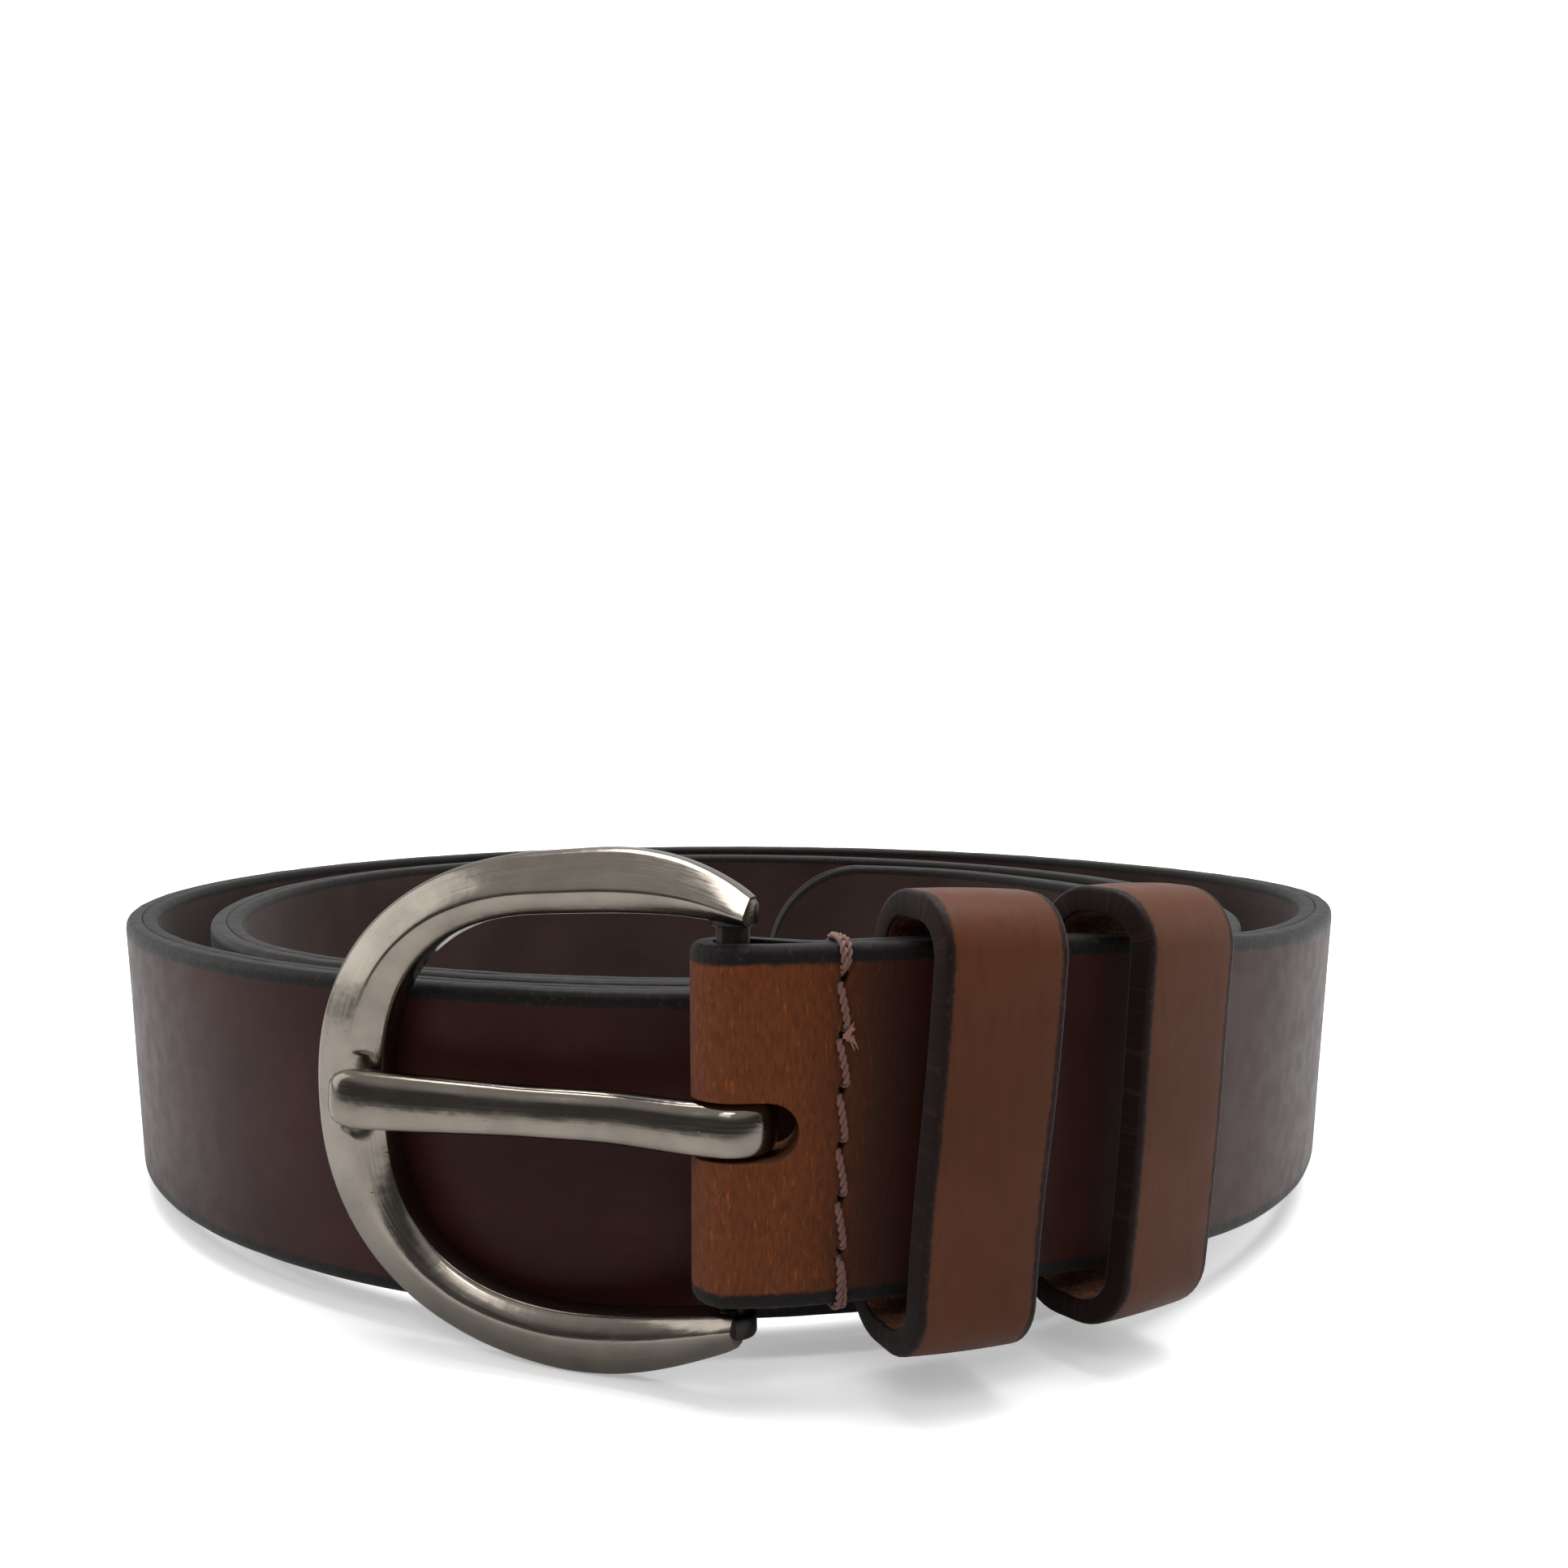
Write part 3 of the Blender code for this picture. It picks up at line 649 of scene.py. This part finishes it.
def round_cutter(centre, along, across, half_length, half_width, depth):
    """Cutter with semicircular ends through a point, `depth` each way."""
    through = along.cross(across).normalized()
    arc = [math.pi * step / 12 for step in range(13)]
    right = [(half_length - half_width + half_width * math.sin(a), half_width * math.cos(a))
             for a in arc]
    outline = right + [(-x, -y) for x, y in right]
    rings = [[centre + along * x + across * y + through * level for x, y in outline]
             for level in (-depth, depth)]
    return skin("cutter", rings, [[(0, 0, 0)] * len(outline)] * 2)


def hole_cutters():
    """Cutters of the adjustment holes."""
    made = []
    for number in range(HOLE_COUNT):
        angle = angle_before_tip(FIRST_HOLE + number * HOLE_PITCH)
        middle, tangent, outward, up = strap_frame(angle)
        made.append(round_cutter(middle - outward * STRAP_THICKNESS / 2, tangent, up,
                                 HOLE_RADIUS, HOLE_RADIUS, STRAP_THICKNESS))
    return made


def stitch_heights():
    """Heights of the stitch holes from the middle of the strap."""
    return [STITCH_FIRST + number * STITCH_PITCH - STRAP_WIDTH / 2
            for number in range(STITCH_HOLES)]


def make_strap():
    """Face ply with its fold, slot and holes, and the lining behind it."""
    face_line = fold_line() + [ply_point(angle, FACE / 2)
                               for angle in strap_columns(FACE_STARTS_ANGLE)]
    face = make_object("strap_leather", ribbon("strap_leather", face_line, FACE, GRAIN_CORNER,
                                               CUT_CORNER, skived=True))
    # The warm fold tone is partly pull-up and partly painted light; where it fades to dark towards
    # the first keeper it is partly painted shade.
    face.data.materials.append(leather("strap_leather", rgb(0.028, 0.0062, 0.0048),
                                       rgb(0.040, 0.0098, 0.0076),
                                       warm=(rgb(0.152, 0.0375, 0.0085), 50, 62)))
    face.data.materials.append(suede("cut_edge", rgb(0.03, 0.010, 0.006),
                                     rgb(0.22, 0.08, 0.03)))
    slot = round_cutter(BAR_PLACE, Vector((1, 0, 0)), UP, SLOT_REACH, SLOT_HALF_WIDTH,
                        SLOT_DEPTH)
    middle, tangent, _, up = strap_frame(STITCH_ANGLE)
    slant_along = (up * AWL_SLANT[0] + tangent * AWL_SLANT[1]).normalized()
    slant_across = (tangent * AWL_SLANT[0] - up * AWL_SLANT[1]).normalized()
    awls = [round_cutter(middle + up * height, slant_along, slant_across, *AWL_HOLE)
            for height in stitch_heights()]
    combine(face, [slot] + awls + hole_cutters(), "DIFFERENCE", marked=True)
    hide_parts("strap_face")
    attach(face, "strap")

    lining_line = [ply_point(angle, STRAP_THICKNESS - LINING / 2 - LINING_REACH)
                   for angle in strap_columns(FLAP_END_ANGLE + LINING_GAP_ANGLE)]
    lining = make_object("lining_leather", ribbon("lining_leather", lining_line,
                                                  LINING + LINING_REACH, LINING_CUT_CORNER,
                                                  LINING_CORNER))
    lining.data.materials.append(leather("lining_leather", rgb(0.026, 0.014, 0.011),
                                         rgb(0.040, 0.021, 0.017), gloss=0.46,
                                         paint_reach=1.3))
    lining.data.materials.append(face.data.materials[1])
    combine(lining, hole_cutters(), "DIFFERENCE", marked=True)
    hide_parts("strap_lining")
    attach(lining, "strap")


# ---- Stitches -------------------------------------------------------------------------------

def twisted(points, radius):
    """Meshes of strands twisted round a line of points."""
    dense = []
    for a, b in zip(points, points[1:]):
        count = max(2, int((b - a).length / THREAD_STEP))
        dense += [a.lerp(b, k / count) for k in range(count)]
    dense.append(points[-1])
    for _ in range(3):
        dense = ([dense[0]] + [(a + b * 2 + c) / 4 for a, b, c in zip(dense, dense[1:], dense[2:])]
                 + [dense[-1]])
    made = []
    for strand in range(THREAD_STRANDS):
        route, along, side = [], 0.0, None
        for k, point in enumerate(dense):
            tangent = dense[min(k + 1, len(dense) - 1)] - dense[max(k - 1, 0)]
            tangent.normalize()
            side = tangent.orthogonal() if side is None else side - tangent * side.dot(tangent)
            side.normalize()
            along += (point - dense[k - 1]).length if k else 0.0
            turn = 2 * math.pi * (along / THREAD_PITCH + strand / THREAD_STRANDS)
            route.append(point + (side * math.cos(turn) + tangent.cross(side) * math.sin(turn))
                         * radius * 0.52)
        rings = tube(route, radius * 0.56)
        values = [[(k * THREAD_STEP, j * 0.2, 0) for j in range(len(ring))]
                  for k, ring in enumerate(rings)]
        made.append(skin("strand", rings, values))
    return made


def stitch_place(out, height, shift):
    """Point beside the row of stitches: out of the strap, up it and along it."""
    middle, tangent, outward, up = strap_frame(STITCH_ANGLE)
    return middle + outward * out + up * height + tangent * shift


def make_stitching():
    """Saddle stitches on both faces of the fold, wrapped over its edges."""
    radius = THREAD_RADIUS
    back = 2 * FACE + FLAP_GAP
    heights = stitch_heights()
    meshes = []
    for low, high in zip(heights, heights[1:]):
        lean = random.uniform(0.30, 0.42)
        bow = radius * random.uniform(0.85, 1.15)
        front = [(-1.2, low + 0.35, lean * 0.7), (bow * 0.5, low + 0.6, lean * 0.9),
                 (bow, low + 1.3, lean * 0.7), (bow * 1.15, (low + high) / 2, 0.0),
                 (bow, high - 1.3, -lean * 0.7), (bow * 0.5, high - 0.6, -lean * 0.9),
                 (-1.2, high - 0.35, -lean * 0.7)]
        meshes += twisted([stitch_place(*spot) for spot in front], radius)
        rear = [(-back - out, height, -shift) for out, height, shift in front]
        rear[0] = (-back + 1.2, rear[0][1], rear[0][2])
        rear[-1] = (-back + 1.2, rear[-1][1], rear[-1][2])
        meshes += twisted([stitch_place(*spot) for spot in rear], radius)
    for sign, hole in ((1, heights[-1]), (-1, heights[0])):
        edge = sign * STRAP_WIDTH / 2
        for turn in (0, 1):
            shift = 0.5 * turn - 0.1
            wrap = [(-1.0, hole + sign * 0.2, -0.1), (0.5, hole + sign * 1.2, shift * 0.4),
                    (0.5, edge - sign * 1.3, shift), (0.1, edge - sign * 0.1, shift * 1.2),
                    (-0.9, edge + sign * 0.45, shift * 1.3),
                    (-back / 2, edge + sign * 0.5, shift),
                    (-back + 0.9, edge + sign * 0.45, shift * 0.6),
                    (-back - 0.1, edge - sign * 0.1, shift * 0.3),
                    (-back - 0.5, edge - sign * 1.3, 0),
                    (-back - 0.4, hole + sign * 1.2, 0), (-back + 1.0, hole + sign * 0.2, 0)]
            meshes += twisted([stitch_place(*spot) for spot in wrap],
                              radius * (1 - 0.25 * turn))
    stitches = make_object("fold_thread", merge("fold_thread", meshes))
    stitches.data.materials.append(thread("thread", rgb(0.20, 0.082, 0.058)))
    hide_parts("fold_stitching")
    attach(stitches, "strap")


def make_frayed_end():
    """Loose fibres of the thread's end, at the second stitch hole from the top."""
    knot = stitch_heights()[-2]
    fibres = []
    for _ in range(FRAYED_FIBRES):
        turn = random.uniform(-0.9, 1.3)
        reach = random.uniform(0.6, 1.5)
        start = Vector((0.35, knot + random.uniform(-0.4, 0.4), random.uniform(-0.2, 0.4)))
        ahead = Vector((random.uniform(0.0, 0.30), math.sin(turn), math.cos(turn)))
        curl = Vector((random.uniform(-0.35, 0.2), random.uniform(-0.6, 0.6), 0))
        route = [start + ahead * reach * t + curl * reach * t * t
                 for t in (0, 0.25, 0.5, 0.75, 1)]
        route = [stitch_place(max(spot.x, 0.12), spot.y, spot.z) for spot in route]
        rings = tube(route, random.uniform(0.07, 0.13), sides=6)
        fibres.append(skin("fibre", rings, [[(k, j * 0.2, 0) for j in range(6)]
                                            for k in range(len(rings))]))
    end = make_object("frayed_end", merge("frayed_end", fibres))
    end.data.materials.append(thread("frayed_thread", rgb(0.36, 0.16, 0.11)))
    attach(end, "strap")


# ---- Keepers --------------------------------------------------------------------------------

def keeper_line():
    """Middle of a keeper's leather (outward, up) with its outward normal, round from its seam."""
    front = KEEPER_SLACK + KEEPER_LEATHER / 2
    rear = -(STRAP_THICKNESS + KEEPER_BACK_ROOM + KEEPER_LEATHER / 2)
    top = KEEPER_HEIGHT / 2 - KEEPER_LEATHER / 2
    rows = 10
    points = []
    for (x, z), start in (((rear, top), 180), ((front, top), 90), ((front, -top), 0),
                          ((rear, -top), -90)):
        centre = (x - math.copysign(KEEPER_CORNER, x), z - math.copysign(KEEPER_CORNER, z))
        for step in range(rows + 1):
            turn = math.radians(start - 90 * step / rows)
            points.append((centre[0] + KEEPER_CORNER * math.cos(turn),
                           centre[1] + KEEPER_CORNER * math.sin(turn),
                           math.cos(turn), math.sin(turn)))
        if start == 90:
            reach = top - KEEPER_CORNER
            points += [(x, reach * (1 - 2 * k / rows), 1.0, 0.0) for k in range(1, rows)]
    seam = KEEPER_SEAM / 2
    return [(rear, seam, -1.0, 0.0)] + points + [(rear, -seam, -1.0, 0.0)]


def keeper_outline(swell=0.0):
    """Section of the keeper's leather: (thickness, width, distance from the painted edge)."""
    half = KEEPER_LEATHER / 2
    width = KEEPER_WIDTH / 2
    outline = ply_outline(width, KEEPER_LEATHER, (0.45, 0.55), (0.35, 0.3), rows=7)
    bulged = []
    for x, y, edge in outline:
        crown = (1 - (y / width) ** 2) * KEEPER_CROWN + swell
        bulged.append((x + crown * (x > half * 0.4), y, edge))
    return bulged


def make_keepers():
    """The two keeper loops, with painted edges outside and raw leather inside."""
    grain = leather("keeper_leather", rgb(0.072, 0.0215, 0.0080), rgb(0.090, 0.028, 0.0115),
                    paint=rgb(0.010, 0.0040, 0.0032), paint_reach=0.85, gloss=0.44,
                    shine=0.10)
    inside = suede("keeper_inside", rgb(0.05, 0.018, 0.010), rgb(0.24, 0.10, 0.05))
    for number, (name, (angle, tilt, lift)) in enumerate(KEEPERS.items()):
        middle, tangent, outward, up = strap_frame(angle)
        middle += up * lift
        turn = Matrix.Rotation(math.radians(tilt), 3, outward)
        tangent, up = turn @ tangent, turn @ up
        stations = []
        for x, z, normal_x, normal_z in keeper_line():
            sway = KEEPER_SWAY * math.sin(z * 0.13 + number * 2.1)
            origin = middle + outward * x + up * z + tangent * sway
            stations.append((origin, outward * normal_x + up * normal_z, tangent))

        def section(along, number=number):
            swell = noise.noise(Vector((along * 0.08, number * 7.0, 3.1))) * KEEPER_SWELL
            return keeper_outline(swell)

        loop = make_object(f"{name}_loop", sweep(f"{name}_loop", stations, section))
        loop.data.materials.append(grain)
        loop.data.materials.append(inside)
        mark_flesh(loop)
        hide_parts(name)
        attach(loop, name)


def mark_flesh(loop):
    """Give the inner surface of a keeper its second material."""
    outline = keeper_outline()
    inner = {k for k, (x, _, _) in enumerate(outline) if x < -KEEPER_LEATHER / 2 + 0.05}
    for face in loop.data.polygons:
        if len(face.vertices) == 4 and all(v % len(outline) in inner for v in face.vertices):
            face.material_index = 1


# ---- Buckle ---------------------------------------------------------------------------------

def buckle_matrix():
    """Buckle's own axes (u, v, w) in the coil frame, with the origin on the heel bar."""
    u = Vector((-math.cos(BUCKLE_LEAN), math.sin(BUCKLE_LEAN), 0))
    turn = Matrix((u, UP, UP.cross(u))).transposed().to_4x4()
    return Matrix.Translation(BAR_PLACE) @ turn


def drooped(point, droop):
    """Point of the frame's outline, lowered towards the closed end."""
    return point[0], point[1] - droop * ease(point[0] / DROOP_SPAN)


def arm_stations(end):
    """Outline points of one arm, from its end to where it meets the bow, all with v positive."""
    steps = 24
    stations = []
    for step in range(steps):
        share = step / steps
        fullness = 1 - (1 - share) ** 2
        pair = [(corner[0] + (FRAME_CENTRE_U - corner[0]) * share,
                 corner[1] + (size[1] - corner[1]) * fullness)
                for corner, size in zip(end, (FRAME_OUTER, FRAME_INNER))]
        thick = ARM_END_THICKNESS + (FRAME_THICKNESS - ARM_END_THICKNESS) * fullness
        stations.append((*pair, thick, ARM_END_FORWARD * (1 - share) ** 2))
    return stations


def frame_edges():
    """Matching points (outer, inner) of the frame's two outlines, with thickness and offset."""
    steps = 60

    def corner(size, power, turn):
        return (FRAME_CENTRE_U + size[0] * math.sin(turn) ** (2 / power),
                size[1] * math.cos(turn) ** (2 / power))

    bow = []
    for step in range(steps + 1):
        turn = min(math.pi / 2 * step / steps, math.pi / 2 - 1e-9)
        bow.append((corner(FRAME_OUTER, FRAME_OUTER_POWER, turn),
                    corner(FRAME_INNER, FRAME_INNER_POWER, turn), FRAME_THICKNESS, 0.0))
    lower = arm_stations(LOWER_ARM_END) + bow[:-1]
    mirrored = [((o[0], -o[1]), (i[0], -i[1]), *rest) for o, i, *rest in reversed(lower)]
    return [(drooped(outer, OUTER_DROOP), drooped(inner, INNER_DROOP), *rest)
            for outer, inner, *rest in arm_stations(UPPER_ARM_END) + bow + mirrored]


def frame_section():
    """Section of the frame: (share from inner to outer edge, height), with a soft ridge.

    The ridge is nearer to the window. A bevel runs from it to the window's edge, and a broader
    face slopes from it to the rim.
    """
    top = []
    for step in range(1, 24):
        share = step / 24
        if share < RIDGE:
            height = 0.5 - (0.5 - INNER_RIM_HEIGHT) * (1 - share / RIDGE) ** 1.5
        else:
            height = 0.5 - (0.5 - OUTER_RIM_HEIGHT) * ((share - RIDGE) / (1 - RIDGE)) ** 1.2
        top.append((share, height))
    return ([(0.06, -0.5), (0.015, -0.485), (0.0, -0.44), (0.0, INNER_RIM_HEIGHT - 0.06),
             (0.008, INNER_RIM_HEIGHT - 0.02)] + top
            + [(0.99, OUTER_RIM_HEIGHT - 0.03), (1.0, OUTER_RIM_HEIGHT - 0.09), (1.0, -0.42),
               (0.985, -0.48), (0.94, -0.5)])


def seat_depth(u, v):
    """How far the frame is cut back where the prong's tip rests in it, from 0 to 1."""
    if u < FRAME_CENTRE_U:
        return 0.0
    return ease(1 - (abs(v) - PRONG_TIP_HALF_WIDTH - SEAT_CLEARANCE) / SEAT_RAMP)


def make_buckle_frame(metal, shaded_bar_metal):
    """Horseshoe frame with a ridged section, the prong's seat, and lugs for the heel bar."""
    place = buckle_matrix()
    edges = frame_edges()
    rings, values = [], []
    along = 0.0
    last = len(edges) - 1
    seat_floor = FRAME_THICKNESS / 2 - SEAT_CUT
    for k, (outer, inner, thick, forward) in enumerate(edges):
        along += math.dist(outer, edges[k - 1][0]) if k else 0.0
        close = min(k, last - k)
        draw_in = (0.93, 0.98)[close] if close < 2 else 1.0
        ring, row = [], []
        for share, height in frame_section():
            share = 0.5 + (share - 0.5) * draw_in
            u = inner[0] + (outer[0] - inner[0]) * share
            v = inner[1] + (outer[1] - inner[1]) * share
            w = forward + thick * height * draw_in
            w = w - max(0.0, w - seat_floor) * seat_depth(u, v)
            ring.append(place @ Vector((u, v, w)))
            row.append((along, share * 7, w))
        rings.append(ring)
        values.append(row)
    casting = make_object("buckle_casting", skin("buckle_casting", rings, values))
    casting.data.materials.append(metal)
    # Second slot: the near-black metal, painted shade, for the lugs and the bore.
    casting.data.materials.append(shaded_bar_metal)
    lugs = [cylinder("lug", place @ Vector((0, side * LUG_INNER, 0)),
                     place @ Vector((0, side * LUG_OUTER, 0)), LUG_RADIUS, ends=LUG_ROUNDING)
            for side in (-1, 1)]
    combine(casting, lugs, "UNION", marked=True)
    bore_end = Vector((0, BAR_HALF_LENGTH + BAR_ROUNDING, 0))
    bore = cylinder("bore", place @ -bore_end, place @ bore_end, BAR_RADIUS + BORE_CLEARANCE)
    combine(casting, [bore], "DIFFERENCE", marked=True)
    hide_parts("buckle_frame")
    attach(casting, "buckle")


def make_bar(metal):
    """Heel bar."""
    place = buckle_matrix()
    bar_end = Vector((0, BAR_HALF_LENGTH, 0))
    bar = make_object("buckle_bar", cylinder("buckle_bar", place @ -bar_end, place @ bar_end,
                                             BAR_RADIUS, ends=BAR_ROUNDING))
    # The bar takes the near-black metal: painted shade where it lies in the fold's shadow.
    bar.data.materials.append(metal)
    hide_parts("heel_bar")
    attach(bar, "buckle")


def rounded_end(left, reach):
    """Share of the full size at a distance `left` from an end that is rounded over `reach`."""
    return math.sqrt(max(0.02, 1 - (1 - min(left, reach) / reach) ** 2))


def prong_route():
    """Centre line of the prong, from its wrapped end to its tip.

    Each station is (u, w, half thickness, half width).
    """
    route = []
    wrap = (EYE_RADIUS + BAR_RADIUS + EYE_CLEARANCE) / 2
    thin = (EYE_RADIUS - BAR_RADIUS - EYE_CLEARANCE) / 2
    for step in range(25):
        turn = math.radians(EYE_WRAP[0] + (EYE_WRAP[1] - EYE_WRAP[0]) * step / 24)
        route.append((wrap * math.cos(turn), wrap * math.sin(turn), thin, EYE_HALF_WIDTH))
    heights = [(u, w) for u, w, _ in PRONG_LINE]
    halves = [(u, half) for u, _, half in PRONG_LINE]
    first, last = 1.2, PRONG_LINE[-1][0]
    steps = 56
    for step in range(steps + 1):
        u = first + (last - first) * (step / steps)
        toward_tip = max(0.0, (u - last / 2) / (last / 2))
        waist = max(0.0, 1 - u / 12)
        width = PRONG_HALF_WIDTH + (PRONG_TIP_HALF_WIDTH - PRONG_HALF_WIDTH) * toward_tip
        width += (EYE_HALF_WIDTH - PRONG_HALF_WIDTH) * waist
        thinned = rounded_end(last - u, 1.8) ** 0.5
        narrowed = 0.45 + 0.55 * rounded_end(last - u, 4.0)
        route.append((u, smooth_value(heights, u), smooth_value(halves, u) * thinned,
                      width * narrowed))
    return route


def make_prong(metal):
    """Cranked prong, formed from a strip that wraps round the heel bar."""
    place = buckle_matrix()
    route = prong_route()
    sides = 28
    power = 2 / PRONG_SQUARENESS
    rings, values = [], []
    along = 0.0
    for k, (u, w, half, width) in enumerate(route):
        before, after = route[max(k - 1, 0)], route[min(k + 1, len(route) - 1)]
        ahead = Vector((after[0] - before[0], after[1] - before[1])).normalized()
        along += math.dist(route[k - 1][:2], (u, w)) if k else 0.0
        ring, row = [], []
        for j in range(sides):
            turn = 2 * math.pi * j / sides
            x = math.copysign(abs(math.cos(turn)) ** power, math.cos(turn)) * width
            y = math.copysign(abs(math.sin(turn)) ** power, math.sin(turn)) * half
            ring.append(place @ Vector((u - ahead.y * y, x, w + ahead.x * y - x * PRONG_CANT)))
            row.append((along, x, y))
        rings.append(ring)
        values.append(row)
    prong = make_object("prong_tongue", skin("prong_tongue", rings, values))
    prong.data.materials.append(metal)
    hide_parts("prong")
    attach(prong, "prong")


def finish_staples():
    """The staples keep their CAD shape and get a wire finish."""
    steel = staple_steel("staple_steel")
    for name in KEEPERS:
        node = frame["nodes"][f"{name}_staple"]
        node.data.materials.clear()
        node.data.materials.append(steel)


# ---- Studio ---------------------------------------------------------------------------------

CAMERA_PLACE = Vector((0.35, -231.9, 60.8))
CAMERA_PITCH = 0.199
SENSOR = 36.0
FOCAL_LENGTH = 33.3
CAMERA_SHIFT = (0.0357, 0.150)
FLOOR_RADIUS = 0.55
FLOOR_SEEN = rgb(0.97, 0.97, 0.975)
FLOOR_GLOW = 0.34
FLOOR_BOUNCE = rgb(0.66, 0.66, 0.66)
# Softboxes: name, place, target, size and watts
SOFTBOXES = (
    ("top_light", (0.05, 0.10, 0.90), (0, 0, 0), (0.9, 0.7), 11.0),
    ("left_light", (-0.8, 0.05, 0.35), (0, 0, 0.02), (0.5, 0.6), 1.3),
    ("right_light", (0.8, 0.0, 0.35), (0, 0, 0.02), (0.5, 0.6), 1.3),
    ("front_light", (-0.25, -0.65, 0.60), (0, -0.09, 0.02), (0.35, 0.25), 0.5),
    ("glint_light", (-0.10, -0.45, 0.50), (0, -0.09, 0.03), (0.25, 0.04), 0.30),
)


def make_camera():
    """Camera close in front of the buckle, a little above the belt and looking slightly down."""
    data = bpy.data.cameras.new("camera")
    data.sensor_width = SENSOR
    data.lens = FOCAL_LENGTH
    data.shift_x, data.shift_y = CAMERA_SHIFT
    data.clip_start = 0.01
    camera = bpy.data.objects.new("camera", data)
    bpy.context.scene.collection.objects.link(camera)
    coil_turn = (COIL.to_3x3() * (1 / MM)).to_4x4()
    turn = coil_turn @ Matrix.Rotation(math.pi / 2 - CAMERA_PITCH, 4, "X")
    camera.matrix_world = Matrix.Translation(COIL @ CAMERA_PLACE) @ turn
    bpy.context.scene.camera = camera


def make_floor():
    """Plain white floor that ends before the horizon, so that it fades into the white behind.

    It is lighter to the camera than to what it lights.
    """
    bm = bmesh.new()
    bmesh.ops.create_circle(bm, cap_ends=True, segments=96, radius=FLOOR_RADIUS)
    mesh = bpy.data.meshes.new("floor")
    bm.to_mesh(mesh)
    bm.free()
    floor = bpy.data.objects.new("floor", mesh)
    bpy.context.scene.collection.objects.link(floor)
    made = Shader("floor_white", attribute=False)
    seen = made.add("LightPath").outputs["Is Camera Ray"]
    colour = made.mix(seen, FLOOR_BOUNCE, FLOOR_SEEN)
    made.tree.links.new(made.math("MULTIPLY", seen, FLOOR_GLOW),
                        made.principled.inputs["Emission Strength"])
    mesh.materials.append(made.finish(colour, 0.9, Specular_IOR_Level=0.1,
                                      Emission_Color=rgb(1, 1, 1)))


def add_softbox(name, place, target, size, power):
    """Rectangular area light aimed at a point."""
    data = bpy.data.lights.new(name, "AREA")
    data.shape = "RECTANGLE"
    data.size, data.size_y = size
    data.energy = power
    light = bpy.data.objects.new(name, data)
    light.location = place
    light.rotation_euler = (Vector(target) - Vector(place)).to_track_quat("-Z", "Y").to_euler()
    bpy.context.scene.collection.objects.link(light)


def make_world():
    """White studio: bright behind, above and below, and dim in front, where the camera is.

    The camera itself sees plain white.
    """
    world = bpy.data.worlds.new("studio")
    bpy.context.scene.world = world
    world.use_nodes = True
    tree = world.node_tree
    background = tree.nodes["Background"]
    direction = add_node(tree, "TexCoord").outputs["Generated"]
    parts = add_node(tree, "SeparateXYZ", {0: direction}).outputs
    behind = add_node(tree, "MapRange", {"Value": parts[1], "From Min": -0.5, "From Max": 0.6,
                                         "To Min": 0.10, "To Max": 0.60},
                      interpolation_type="SMOOTHSTEP").outputs["Result"]
    below = add_node(tree, "MapRange", {"Value": parts[2], "From Min": -0.06, "From Max": 0.02,
                                        "To Min": 0.55, "To Max": 0.0}).outputs["Result"]
    above = add_node(tree, "MapRange", {"Value": parts[2], "From Min": 0.25, "From Max": 0.65,
                                        "To Min": 0.0, "To Max": 0.55},
                     interpolation_type="SMOOTHSTEP").outputs["Result"]
    level = add_node(tree, "Math", {0: behind, 1: below}, operation="MAXIMUM").outputs[0]
    level = add_node(tree, "Math", {0: level, 1: above}, operation="MAXIMUM").outputs[0]
    seen = add_node(tree, "LightPath").outputs["Is Camera Ray"]
    level = add_node(tree, "Mix", {"Factor": seen, 2: level, 3: 1.0}, data_type="FLOAT")
    tree.links.new(level.outputs[0], background.inputs["Strength"])
    background.inputs["Color"].default_value = rgb(1, 1, 1)


def make_studio():
    make_camera()
    make_floor()
    make_world()
    for softbox in SOFTBOXES:
        add_softbox(*softbox)
    bpy.context.scene.view_settings.view_transform = "Standard"


def main():
    random.seed(4)
    make_studio()
    make_strap()
    make_stitching()
    make_frayed_end()
    make_keepers()
    frame_metal = gunmetal("gunmetal", rgb(0.29, 0.256, 0.217))
    # Near-black copy of the plating for the heel bar, lugs and bore: painted shade, not the
    # plating's own colour.
    shaded_bar_metal = gunmetal("shaded_bar_metal", rgb(0.04, 0.036, 0.033), gloss=0.35)
    make_buckle_frame(frame_metal, shaded_bar_metal)
    make_bar(shaded_bar_metal)
    make_prong(gunmetal("prong_metal", rgb(0.27, 0.238, 0.200), gloss=0.11))
    finish_staples()


main()
